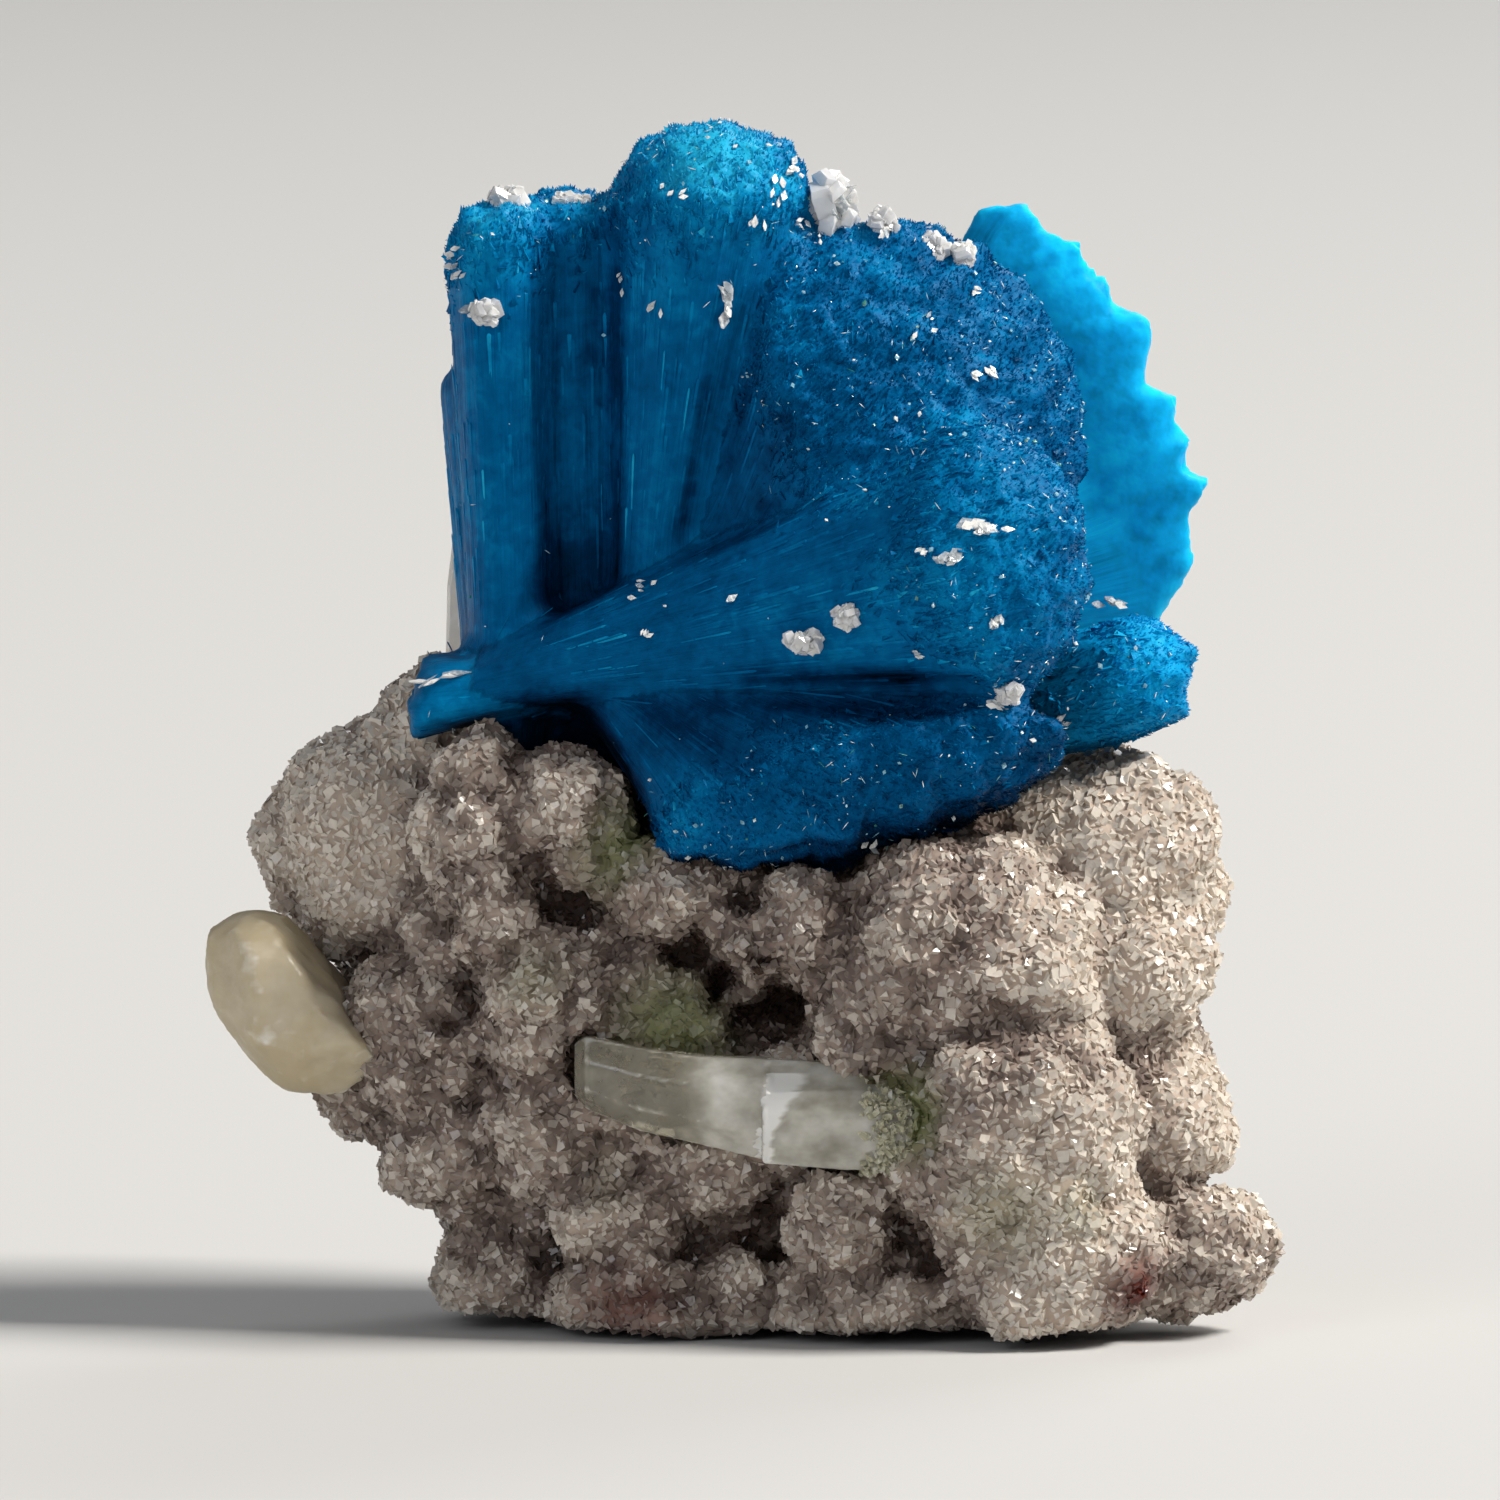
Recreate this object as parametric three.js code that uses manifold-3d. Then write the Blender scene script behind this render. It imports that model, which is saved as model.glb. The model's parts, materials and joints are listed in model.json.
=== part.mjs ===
// Cavansite crystal cluster on its zeolite-crusted matrix: a hand specimen that stands on its broken base.
// Millimetres, +Z up, +X to the right of the front view, -Y towards the viewer.
// The origin lies in the middle of the flat base, on the surface that the specimen rests on.
import * as THREE from "three";
import { ConvexGeometry } from "three/addons/geometries/ConvexGeometry.js";
import { ImprovedNoise } from "three/addons/math/ImprovedNoise.js";
import { mergeVertices } from "three/addons/utils/BufferGeometryUtils.js";
import Module from "manifold-3d";

const wasm = await Module();
wasm.setup();

// Driving dimensions of the specimen, in millimetres
const GAP = 0.05; // left between two minerals that grow on each other
const FACET = 1.5; // size of a facet on the crusted knobs
const WELD = 0.002; // corners nearer than this are one corner
const CRUST = 0.2; // how far the crust's crystal points stand out or in
const LUMP = 0.13; // slow unevenness of a knob, as a share of its radius
const LUMP_WAVES = 2.1; // how many swells that unevenness has across a knob
const TIP = 0.62; // height of a coarse crystal tip on a cavansite cap
const GROOVE = 0.1; // depth of the grooves along a sheaf, as a share of its width
const FAR = 40; // a distance outside the specimen, to look at it from

// The knobs of the matrix: centre and radii of each rounded lump, and its facet size where it isn't FACET
const KNOBS = [
  // body of the rock
  { at: [-1.2, 0.8, 6.2], radii: [7.2, 5.8, 7.4], facet: 2.6 },
  { at: [5.2, -0.1, 6.6], radii: [6.6, 6.6, 7.0], facet: 2.2 },
  { at: [-5.6, 1.0, 9.6], radii: [4.6, 4.6, 5.0], facet: 2.4 },
  { at: [-2.6, 2.8, 11.2], radii: [3.8, 3.4, 3.9], facet: 1.9 },
  { at: [2.2, 3.4, 11.3], radii: [3.9, 3.6, 4.0] },
  { at: [6.6, 2.6, 11.4], radii: [3.6, 3.4, 3.2], facet: 1.9 },
  // upper left shoulder
  { at: [-8.9, 1.2, 11.9], radii: [3.3, 3.4, 3.3] },
  { at: [-7.6, 0.9, 14.3], radii: [2.0, 2.3, 1.9] },
  { at: [-6.3, -2.3, 12.2], radii: [1.9, 1.9, 2.9] },
  { at: [-4.3, -2.9, 12.9], radii: [1.8, 1.7, 2.0] },
  { at: [-5.9, -3.3, 10.3], radii: [1.3, 1.2, 1.3] },
  // left side and its lower knobs
  { at: [-7.7, -1.5, 7.4], radii: [2.4, 2.3, 2.5] },
  { at: [-8.9, -0.4, 5.9], radii: [1.8, 2.0, 1.7] },
  { at: [-6.9, -1.2, 4.6], radii: [2.2, 2.4, 2.2] },
  { at: [-4.6, -3.2, 8.4], radii: [2.1, 2.0, 2.3] },
  { at: [-4.9, -2.9, 5.0], radii: [1.8, 1.7, 1.8] },
  { at: [-5.9, -1.3, 1.2], radii: [1.8, 2.3, 1.9] },
  { at: [-2.9, -3.8, 3.0], radii: [1.8, 1.5, 1.6] },
  { at: [-1.6, -3.2, 0.8], radii: [3.6, 2.4, 1.7] },
  // middle, round the cavity
  { at: [-1.4, -3.2, 11.2], radii: [2.5, 1.9, 1.5] },
  { at: [0.2, -4.6, 9.6], radii: [1.1, 1.2, 1.3] },
  { at: [2.1, -4.1, 10.0], radii: [2.2, 2.1, 1.9] },
  { at: [2.5, -5.2, 3.2], radii: [1.3, 1.3, 1.6] },
  { at: [3.4, -4.0, 1.0], radii: [3.0, 2.6, 1.6] },
  // right-hand mass, towards the viewer
  { at: [5.3, -3.5, 9.3], radii: [4.3, 3.7, 3.6] },
  { at: [9.0, -0.6, 11.2], radii: [3.2, 3.6, 3.2] },
  { at: [9.2, -2.9, 8.8], radii: [2.6, 2.7, 2.3] },
  { at: [6.7, -5.2, 5.2], radii: [3.5, 3.0, 3.4] },
  { at: [10.0, -2.6, 5.2], radii: [2.4, 3.0, 2.1] },
  { at: [7.6, -4.9, 2.2], radii: [3.2, 3.0, 2.5] },
  { at: [10.9, -3.3, 2.2], radii: [2.5, 2.4, 1.7] },
  // sides and back of the specimen
  { at: [-6.4, 2.4, 6.4], radii: [2.9, 2.8, 3.4] },
  { at: [9.2, 2.2, 8.1], radii: [2.3, 2.7, 2.6] },
  { at: [8.7, 1.8, 3.9], radii: [2.7, 2.9, 2.9] },
  { at: [1.0, 3.6, 4.6], radii: [5.6, 3.4, 4.8], facet: 2.2 },
];

// The corners of the hand-trimmed block: the base is cut flat and the back is a few broken faces
const BLOCK = [
  [-14, -11, 0], [14, -11, 0], [13, 3.4, 0], [2.5, 4.6, 0], [-9.5, 3.4, 0],
  [-14, -11, 18], [14, -11, 18], [13, 4.8, 17], [1.5, 6.6, 17], [-11, 4.8, 17],
  [3.6, 6.3, 8.5], [-12.6, 2.8, 8],
];

// The dark cleft over the clear crystal, as a chain of hollows that run into the rock
const CAVITY = [
  { at: [-1.35, -5.2, 9.5], radii: [0.95, 2.4, 0.55] },
  { at: [-0.4, -5.0, 8.8], radii: [0.8, 2.4, 0.7] },
  { at: [0.75, -5.2, 7.95], radii: [1.25, 3.0, 0.95] },
  { at: [-0.6, -6.4, 7.2], radii: [2.6, 2.0, 1.3] },
  { at: [-3.6, -6.0, 4.9], radii: [1.8, 1.7, 0.9] },
];

// Sheaves of radiating cavansite. Each runs from a narrow root to a wide cap of crystal tips.
// root and cap are centres; across and along are the half-axes of each section; dome is how far the cap bulges.
const SHEAVES = [
  { // left column, three ribs side by side
    root: [-5.6, -0.9, 13.6], rootAcross: [1.05, 0, 0], rootAlong: [0, 1.3, 0],
    cap: [-6.0, -0.9, 27.1], across: [1.32, 0.1, 0.25], along: [0, 1.7, 0], dome: 0.6, rings: 3,
  },
  {
    root: [-3.9, 0.2, 13.8], rootAcross: [0.85, 0, 0], rootAlong: [0, 1.2, 0],
    cap: [-4.3, 0.3, 27.5], across: [1.15, 0, 0.05], along: [0, 1.7, 0.1], dome: 0.4, rings: 3,
  },
  {
    root: [-6.3, 0.2, 14.0], rootAcross: [0.45, 0, 0], rootAlong: [0, 1.0, 0],
    cap: [-6.85, 0.1, 23.6], across: [0.62, 0, 0.3], along: [0, 1.5, 0], dome: 0.3, rings: 3,
  },
  { // tall middle sheaf with the domed top
    root: [-2.5, -1.0, 15.0], rootAcross: [0.75, 0, 0], rootAlong: [0, 1.2, 0],
    cap: [-0.7, -0.7, 27.6], across: [2.75, 0, -0.1], along: [0, 2.7, -0.3], dome: 1.8, rings: 5,
  },
  { // upper right sheaf, whose cap slopes down towards the viewer
    root: [-1.3, -0.4, 15.6], rootAcross: [0.9, 0, -0.9], rootAlong: [-0.4, -1.3, -0.4],
    cap: [4.6, -1.5, 23.4], across: [3.4, 0.3, -3.6], along: [-2.4, -2.6, -2.6], dome: 1.3, rings: 5,
  },
  { // front sheaf, the right half of the bow tie
    root: [-6.4, -1.8, 16.2], rootAcross: [0.1, 0.1, 0.75], rootAlong: [0.2, 1.0, 0],
    cap: [6.1, -4.2, 19.4], across: [-0.8, 0.7, 3.5], along: [1.3, 2.7, 0.2], dome: 2.1, rings: 5,
  },
  { // lower front sheaf, hanging over the matrix
    root: [-2.6, -2.0, 15.9], rootAcross: [1.5, 0.2, 0.15], rootAlong: [-0.1, 1.0, -0.7],
    cap: [3.1, -4.6, 13.9], across: [5.1, 0.5, 1.2], along: [-0.2, 1.9, -1.6], dome: 1.2, rings: 5,
  },
  { // left half of the bow tie
    root: [-3.2, -1.7, 16.2], rootAcross: [0.1, 0, 0.5], rootAlong: [0, 1.0, 0],
    cap: [-7.5, -1.5, 15.7], across: [-0.2, 0.1, 1.05], along: [0.1, 1.5, 0.1], dome: 0.5, rings: 3,
  },
  { // small lobe at the right
    root: [1.0, -1.2, 16.2], rootAcross: [0.1, 0.1, 0.8], rootAlong: [0.1, 0.9, 0],
    cap: [10.0, -1.4, 16.7], across: [-0.1, 0.1, 1.45], along: [0.2, 1.6, 0.1], dome: 1.2, rings: 3,
  },
  { // thin pale fan behind, with the big teeth
    root: [-0.6, 1.6, 16.0], rootAcross: [0.6, 0, -0.9], rootAlong: [0, 0.7, 0.1],
    cap: [7.85, 3.0, 22.6], across: [2.3, 0.2, -4.9], along: [0.2, 0.95, 0.1], dome: 2.9, rings: 5, tip: 0.8,
  },
  { // back of the cluster
    root: [-2.6, 1.0, 15.4], rootAcross: [0.9, 0, 0], rootAlong: [0, 0.7, 0.6],
    cap: [-3.4, 4.6, 22.6], across: [2.5, 0.3, 0.2], along: [-0.1, -1.6, 2.4], dome: 1.3, rings: 4,
  },
  {
    root: [-1.4, 1.3, 15.4], rootAcross: [1.0, 0, 0.1], rootAlong: [0, 0.8, 0.7],
    cap: [1.4, 5.0, 24.0], across: [2.6, -0.2, -0.9], along: [-0.2, -1.5, 2.3], dome: 1.3, rings: 4,
  },
  {
    root: [0.0, 1.6, 15.2], rootAcross: [0.8, 0, 0], rootAlong: [0, 0.2, 0.8],
    cap: [3.4, 5.6, 18.2], across: [2.6, -0.9, 0.2], along: [-0.1, -0.6, 2.0], dome: 1.1, rings: 4,
  },
];

// Where the roots of all the sheaves have grown together
const HEARTS = [
  { at: [-3.0, 0.2, 15.6], radii: [3.0, 2.7, 2.3] },
  { at: [-0.3, 1.0, 16.2], radii: [3.1, 3.0, 2.5] },
];

// Small white zeolite crystals that sit on the cavansite: where each is seen from the front or from above
const PERCHED = [
  { from: "above", at: [-5.75, -0.9], size: [0.42, 0.4, 0.55], turn: 0.3 },
  { from: "above", at: [-4.2, -0.4], size: [0.55, 0.35, 0.3], turn: 0.1 },
  { from: "front", at: [-6.3, 25.4], size: [0.42, 0.3, 0.3], turn: -0.5 },
  { from: "above", at: [2.35, -1.1], size: [0.66, 0.6, 0.8], turn: 0.5 },
  { from: "above", at: [3.6, -1.3], size: [0.3, 0.3, 0.45], turn: 0.2 },
  { from: "above", at: [4.75, -0.9], size: [0.4, 0.4, 0.42], turn: 1.1 },
  { from: "above", at: [5.45, -0.9], size: [0.34, 0.34, 0.36], turn: 0.7 },
  { from: "above", at: [10.6, 3.1], size: [0.3, 0.3, 0.48], turn: 0.4 },
  { from: "front", at: [1.6, 17.5], size: [0.5, 0.3, 0.28], turn: 0.3 },
  { from: "front", at: [2.6, 18.1], size: [0.38, 0.3, 0.3], turn: -0.4 },
  { from: "front", at: [6.6, 16.2], size: [0.34, 0.3, 0.32], turn: 0.9 },
];
const PERCHED_SUNK = 0.25; // share of a perched crystal that is rooted in the cavansite

// The clear stilbite in the hollow of the matrix: two parallel crystals grown together.
// Each is a row of stations along its length, with its half-height and half-depth there.
const PRISM_CRYSTALS = [
  [
    { at: [-4.1, -4.3, 6.7], high: 0.7, deep: 0.45 },
    { at: [-3.8, -4.6, 6.65], high: 0.98, deep: 0.8 },
    { at: [-2.5, -5.0, 6.3], high: 1.12, deep: 0.95 },
    { at: [-1.0, -5.3, 6.05], high: 1.18, deep: 1.0 },
    { at: [0.6, -5.5, 5.85], high: 1.36, deep: 1.0 },
    { at: [3.0, -5.5, 5.65], high: 1.42, deep: 1.0 },
    { at: [4.8, -5.2, 5.55], high: 1.25, deep: 0.9 },
  ],
  [
    { at: [0.55, -6.25, 5.5], high: 1.0, deep: 0.55 },
    { at: [2.6, -6.2, 5.4], high: 1.08, deep: 0.6 },
    { at: [4.7, -5.9, 5.35], high: 0.95, deep: 0.6 },
  ],
];
const PRISM_SIDES = 8;

// The smooth cream crystal mass at the far left: a chunky rounded block
const CREAM = { at: [-11.2, -1.2, 7.95], radii: [1.7, 2.3, 3.0], turn: -38, facet: 1.3, crust: 0.05 };

// The thin white blade that stands behind the left column: outline in its own plane, and thickness
const BLADE = {
  outline: [[-0.5, 0], [0.75, 0], [0.55, 2.4], [-0.15, 5.4], [-0.42, 3.2]],
  thick: 0.36,
  at: [-6.95, 2.35, 15.0],
  turn: 0.25,
};

const noise = new ImprovedNoise();

/** A repeatable random number from 0 to 1 for a place in space. */
function hash(x, y, z) {
  const s = Math.sin(x * 127.1 + y * 311.7 + z * 74.7) * 43758.5453;
  return s - Math.floor(s);
}

/** Geometry with position only and shared vertices merged, as a closed mesh needs. */
function bare(geometry) {
  const g = geometry.clone();
  g.deleteAttribute("normal");
  g.deleteAttribute("uv");
  return mergeVertices(g, 1e-4);
}

/** A closed geometry as a solid, turned to face outwards. */
function solidOf(geometry) {
  const g = bare(geometry);
  const vertProperties = new Float32Array(g.attributes.position.array);
  const triVerts = new Uint32Array(g.index.array);
  const made = new wasm.Manifold(new wasm.Mesh({ numProp: 3, vertProperties, triVerts }));
  if (made.volume() > 0) return made;
  for (let i = 0; i < triVerts.length; i += 3) {
    [triVerts[i + 1], triVerts[i + 2]] = [triVerts[i + 2], triVerts[i + 1]];
  }
  return new wasm.Manifold(new wasm.Mesh({ numProp: 3, vertProperties, triVerts }));
}

/** A solid back as geometry with flat faces, its closest corners welded. */
function geometryOf(solid) {
  const mesh = solid.getMesh();
  const seen = new Map();
  const positions = [];
  const merged = Array.from({ length: mesh.vertProperties.length / 3 }, (_, i) => {
    const corner = Array.from(mesh.vertProperties.slice(3 * i, 3 * i + 3), (c) => Math.round(c / WELD));
    const key = corner.join();
    if (!seen.has(key)) {
      seen.set(key, positions.length / 3);
      positions.push(...corner.map((c) => c * WELD));
    }
    return seen.get(key);
  });
  const faces = new Map();
  for (let i = 0; i < mesh.triVerts.length; i += 3) {
    const face = Array.from(mesh.triVerts.slice(i, i + 3), (corner) => merged[corner]);
    if (new Set(face).size < 3) continue;
    const key = [...face].sort((a, b) => a - b).join();
    if (faces.has(key)) faces.delete(key);
    else faces.set(key, face);
  }
  const g = new THREE.BufferGeometry();
  g.setAttribute("position", new THREE.Float32BufferAttribute(positions, 3));
  g.setIndex([...faces.values()].flat());
  const flat = g.toNonIndexed();
  flat.computeVertexNormals();
  return flat;
}

const joined = (solids) => solids.reduce((whole, next) => whole.add(next));

/** The largest of a solid's separate bodies, so that a cut leaves no crumbs. */
function largest(solid) {
  return solid.decompose().reduce((best, body) => (body.volume() > best.volume() ? body : best));
}

/** A rounded lump with the coarse facets of its crystal crust. grow moves its surface outwards. */
function lump({ at, radii, facet = FACET, crust = CRUST }, grow = 0) {
  const edge = 1.05 * Math.max(...radii); // the edge of an icosahedron of the widest radius
  const parts = Math.max(2, Math.round(edge / facet));
  const g = bare(new THREE.IcosahedronGeometry(1, parts - 1));
  const p = g.attributes.position;
  const v = new THREE.Vector3();
  const [x, y, z] = at;
  for (let i = 0; i < p.count; i++) {
    v.fromBufferAttribute(p, i).normalize();
    const swell = v.clone().multiplyScalar(LUMP_WAVES);
    const slow = 1 + LUMP * noise.noise(swell.x + x, swell.y + y, swell.z + z);
    const point = crust * (2 * hash(v.x + x, v.y + y, v.z + z) - 1);
    p.setXYZ(
      i,
      x + v.x * (radii[0] * slow + point + grow),
      y + v.y * (radii[1] * slow + point + grow),
      z + v.z * (radii[2] * slow + point + grow),
    );
  }
  return solidOf(g);
}

const block = solidOf(new ConvexGeometry(BLOCK.map((corner) => new THREE.Vector3(...corner))));

/** The matrix: its knobs joined, hollowed by the cavity and trimmed to the block. */
function matrixSolid(grow = 0) {
  const knobs = joined(KNOBS.map((knob) => lump(knob, grow)));
  const cavity = joined(CAVITY.map((hollow) => lump(hollow, -grow)));
  return knobs.subtract(cavity).intersect(block);
}

/** Points of a disc in hexagonal rings. One in three is the tip of a crystal. */
function hexDisc(rings) {
  const corners = [[1, 0], [0, 1], [-1, 1], [-1, 0], [0, -1], [1, -1]];
  const points = [{ u: 0, v: 0, tip: true }];
  const start = [0];
  for (let ring = 1; ring <= rings; ring++) {
    start.push(points.length);
    for (let k = 0; k < 6 * ring; k++) {
      const side = Math.floor(k / ring);
      const step = k % ring;
      const [a, b] = [corners[side], corners[(side + 1) % 6]];
      const q = a[0] * (ring - step) + b[0] * step;
      const r = a[1] * (ring - step) + b[1] * step;
      const angle = (2 * Math.PI * k) / (6 * ring);
      const radius = ring / rings;
      points.push({
        u: radius * Math.cos(angle),
        v: radius * Math.sin(angle),
        tip: (((q - r) % 3) + 3) % 3 === 0,
      });
    }
  }
  const index = (ring, k) => (ring === 0 ? 0 : start[ring] + (((k % (6 * ring)) + 6 * ring) % (6 * ring)));
  const triangles = [];
  for (let ring = 1; ring <= rings; ring++) {
    for (let side = 0; side < 6; side++) {
      for (let step = 0; step < ring; step++) {
        const outer = side * ring + step;
        const inner = side * (ring - 1) + step;
        triangles.push([index(ring, outer), index(ring, outer + 1), index(ring - 1, inner)]);
        if (step < ring - 1) {
          triangles.push([index(ring - 1, inner), index(ring, outer + 1), index(ring - 1, inner + 1)]);
        }
      }
    }
  }
  return { points, triangles, rim: start[rings] };
}

/** One sheaf of cavansite: grooved flanks from a narrow root to a domed cap of crystal tips. */
function sheaf(spec) {
  const vector = (list) => new THREE.Vector3(...list);
  const [root, ru, rv] = [spec.root, spec.rootAcross, spec.rootAlong].map(vector);
  const [cap, cu, cv] = [spec.cap, spec.across, spec.along].map(vector);
  const out = cu.clone().cross(cv).normalize();
  if (out.dot(cap.clone().sub(root)) < 0) out.negate();
  const disc = hexDisc(spec.rings);
  const start = (u, v) => root.clone().addScaledVector(ru, u).addScaledVector(rv, v);
  const end = (u, v) => {
    const bulge = spec.dome * (1 - u * u - v * v);
    return cap.clone().addScaledVector(cu, u).addScaledVector(cv, v).addScaledVector(out, bulge);
  };
  const chance = (point, salt) => hash(point.u + cap.x, point.v + cap.z, salt);
  const positions = [];
  disc.points.forEach((point, i) => {
    const scale = i < disc.rim || point.tip ? 1 : 1 - GROOVE * (0.6 + 0.8 * chance(point, 1));
    Object.assign(point, { u: point.u * scale, v: point.v * scale });
    const reach = point.tip ? 0.35 + chance(point, 2) : -0.5 * chance(point, 3);
    const tall = (spec.tip ?? TIP) * reach;
    const way = end(point.u, point.v).sub(start(point.u, point.v)).normalize();
    positions.push(...end(point.u, point.v).addScaledVector(way, tall));
  });
  const rim = disc.points.slice(disc.rim);
  rim.forEach(({ u, v }) => positions.push(...start(u, v)));
  positions.push(...root);
  const foot = disc.points.length;
  const middle = foot + rim.length;
  const index = disc.triangles.flat();
  for (let k = 0; k < rim.length; k++) {
    const next = (k + 1) % rim.length;
    index.push(disc.rim + k, foot + k, disc.rim + next);
    index.push(disc.rim + next, foot + k, foot + next);
    index.push(foot + k, middle, foot + next);
  }
  const g = new THREE.BufferGeometry();
  g.setAttribute("position", new THREE.Float32BufferAttribute(positions, 3));
  g.setIndex(index);
  return solidOf(g);
}

/** A chunky crystal with flat faces: a bevelled block with a wedge-shaped top. */
function chunk([wide, deep, high]) {
  const corners = [];
  for (const sx of [-1, 1]) {
    for (const sy of [-1, 1]) {
      corners.push([sx * wide, sy * deep * 0.5, -high * 0.8]);
      corners.push([sx * wide * 0.6, sy * deep, -high * 0.7]);
      corners.push([sx * wide * 0.9, sy * deep * 0.8, high * 0.4]);
    }
    corners.push([sx * wide * 0.5, 0, high]);
  }
  return new ConvexGeometry(corners.map((corner) => new THREE.Vector3(...corner)));
}

/** The point of a mesh that is met first from the front or from above. */
function firstPoint(mesh, spec) {
  const above = spec.from === "above";
  const start = above
    ? new THREE.Vector3(spec.at[0], spec.at[1], FAR)
    : new THREE.Vector3(spec.at[0], -FAR, spec.at[1]);
  const way = above ? new THREE.Vector3(0, 0, -1) : new THREE.Vector3(0, 1, 0);
  const [hit] = new THREE.Raycaster(start, way).intersectObject(mesh);
  if (!hit) throw new Error("no surface under the perched crystal at " + spec.at);
  return hit.point.addScaledVector(way, -Math.max(...spec.size) * (1 - 2 * PERCHED_SUNK));
}

/** A perched crystal, turned and set in place. grow makes it a little larger, to cut its seat. */
function perchedSolid(spec, point, grow = 0) {
  const g = chunk(spec.size.map((half) => half + grow));
  g.rotateX(0.5 * Math.sin(7 * spec.turn));
  g.rotateY(spec.turn);
  g.rotateZ(2.3 * spec.turn);
  g.translate(point.x, point.y, point.z);
  return solidOf(g);
}

/** One clear crystal: flat-sided sections along its slightly bent length. */
function prismCrystal(stations, grow) {
  const positions = [];
  const index = [];
  stations.forEach(({ at, high, deep }, station) => {
    for (let k = 0; k < PRISM_SIDES; k++) {
      const angle = (2 * Math.PI * (k + 0.5)) / PRISM_SIDES;
      const [c, s] = [Math.cos(angle), Math.sin(angle)];
      const square = 0.5 + 0.46 / Math.max(Math.abs(c), Math.abs(s));
      const end = station === 0 ? -grow : 0;
      positions.push(at[0] + end, at[1] + (deep + grow) * square * c, at[2] + (high + grow) * square * s);
    }
  });
  const last = stations.length - 1;
  for (let station = 0; station < last; station++) {
    for (let k = 0; k < PRISM_SIDES; k++) {
      const next = (k + 1) % PRISM_SIDES;
      const [a, b] = [station * PRISM_SIDES, (station + 1) * PRISM_SIDES];
      index.push(a + k, a + next, b + k, b + k, a + next, b + next);
    }
  }
  const far = last * PRISM_SIDES;
  for (let k = 1; k < PRISM_SIDES - 1; k++) {
    index.push(0, k + 1, k, far, far + k, far + k + 1);
  }
  const g = new THREE.BufferGeometry();
  g.setAttribute("position", new THREE.Float32BufferAttribute(positions, 3));
  g.setIndex(index);
  return solidOf(g);
}

/** The clear crystals joined. grow makes them a little larger, to cut their seat in the rock. */
function prismSolid(grow = 0) {
  return joined(PRISM_CRYSTALS.map((stations) => prismCrystal(stations, grow)));
}

/** The cream crystal mass: a lump with few, broad faces, leaning to the left. */
function creamSolid() {
  return lump({ ...CREAM, at: [0, 0, 0] }).rotate([0, CREAM.turn, 0]).translate(CREAM.at);
}

/** The thin white blade behind the left column. */
function bladeSolid() {
  const shape = new THREE.Shape(BLADE.outline.map(([x, z]) => new THREE.Vector2(x, z)));
  const g = new THREE.ExtrudeGeometry(shape, { depth: BLADE.thick, bevelEnabled: false });
  g.rotateX(Math.PI / 2);
  g.rotateZ(BLADE.turn);
  g.translate(...BLADE.at);
  return solidOf(g);
}

// The minerals, each cut clear of what it grows on
const rock = largest(matrixSolid().subtract(prismSolid(GAP)));
const rockGrown = matrixSolid(GAP);
const hearts = HEARTS.map((heart) => lump(heart));
const sprayWhole = largest(joined([...hearts, ...SHEAVES.map(sheaf)]).subtract(rockGrown));
const sprayMesh = new THREE.Mesh(geometryOf(sprayWhole), new THREE.MeshBasicMaterial({ side: THREE.DoubleSide }));
const perches = PERCHED.map((spec) => ({ spec, point: firstPoint(sprayMesh, spec) }));
const seats = perches.map(({ spec, point }) => perchedSolid(spec, point, GAP));
const cream = largest(creamSolid().subtract(rockGrown));
const spray = largest(sprayWhole.subtract(joined(seats)));
const blade = largest(bladeSolid().subtract(rockGrown));

// Materials, with the colours of the photographed specimen
const materials = {
  cavansite: new THREE.MeshStandardMaterial({ color: "#0b6aa8", roughness: 0.35, metalness: 0 }),
  matrix: new THREE.MeshStandardMaterial({ color: "#a5948a", roughness: 0.75, metalness: 0 }),
  stilbite: new THREE.MeshStandardMaterial({ color: "#c9ccc2", roughness: 0.2, metalness: 0 }),
  cream: new THREE.MeshStandardMaterial({ color: "#cfc5a6", roughness: 0.45, metalness: 0 }),
  white: new THREE.MeshStandardMaterial({ color: "#eeeae6", roughness: 0.25, metalness: 0 }),
};

const specimen = new THREE.Group();

/** Adds one mineral to the specimen as a named mesh. */
function place(name, solid, material) {
  const mesh = new THREE.Mesh(geometryOf(solid), material);
  mesh.name = name;
  specimen.add(mesh);
}

place("matrix_rock", rock, materials.matrix);
place("cavansite_spray", spray, materials.cavansite);
place("stilbite_prism", prismSolid(), materials.stilbite);
place("cream_crystal", cream, materials.cream);
place("white_blade", blade, materials.white);
perches.forEach(({ spec, point }, i) => {
  const number = String(i + 1).padStart(2, "0");
  place("perched_crystal_" + number, perchedSolid(spec, point), materials.white);
});

export default specimen;
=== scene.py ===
"""Looks of the cavansite crystal cluster: blue sheaves of needles on a zeolite-crusted rock.

Sizes are in millimetres until a piece is finished; a finished piece is in metres, in the frame of
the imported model.
"""

from __future__ import annotations

import json
import logging
import math
from collections.abc import Callable, Iterable, Mapping, Sequence
from dataclasses import dataclass, field
from enum import Enum
from functools import partial

import bmesh
import bpy
import numpy as np
from bpy.types import Material, Node, NodeSocket, NodeTree, Object
from mathutils import Matrix, Vector
from mathutils.bvhtree import BVHTree

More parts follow.
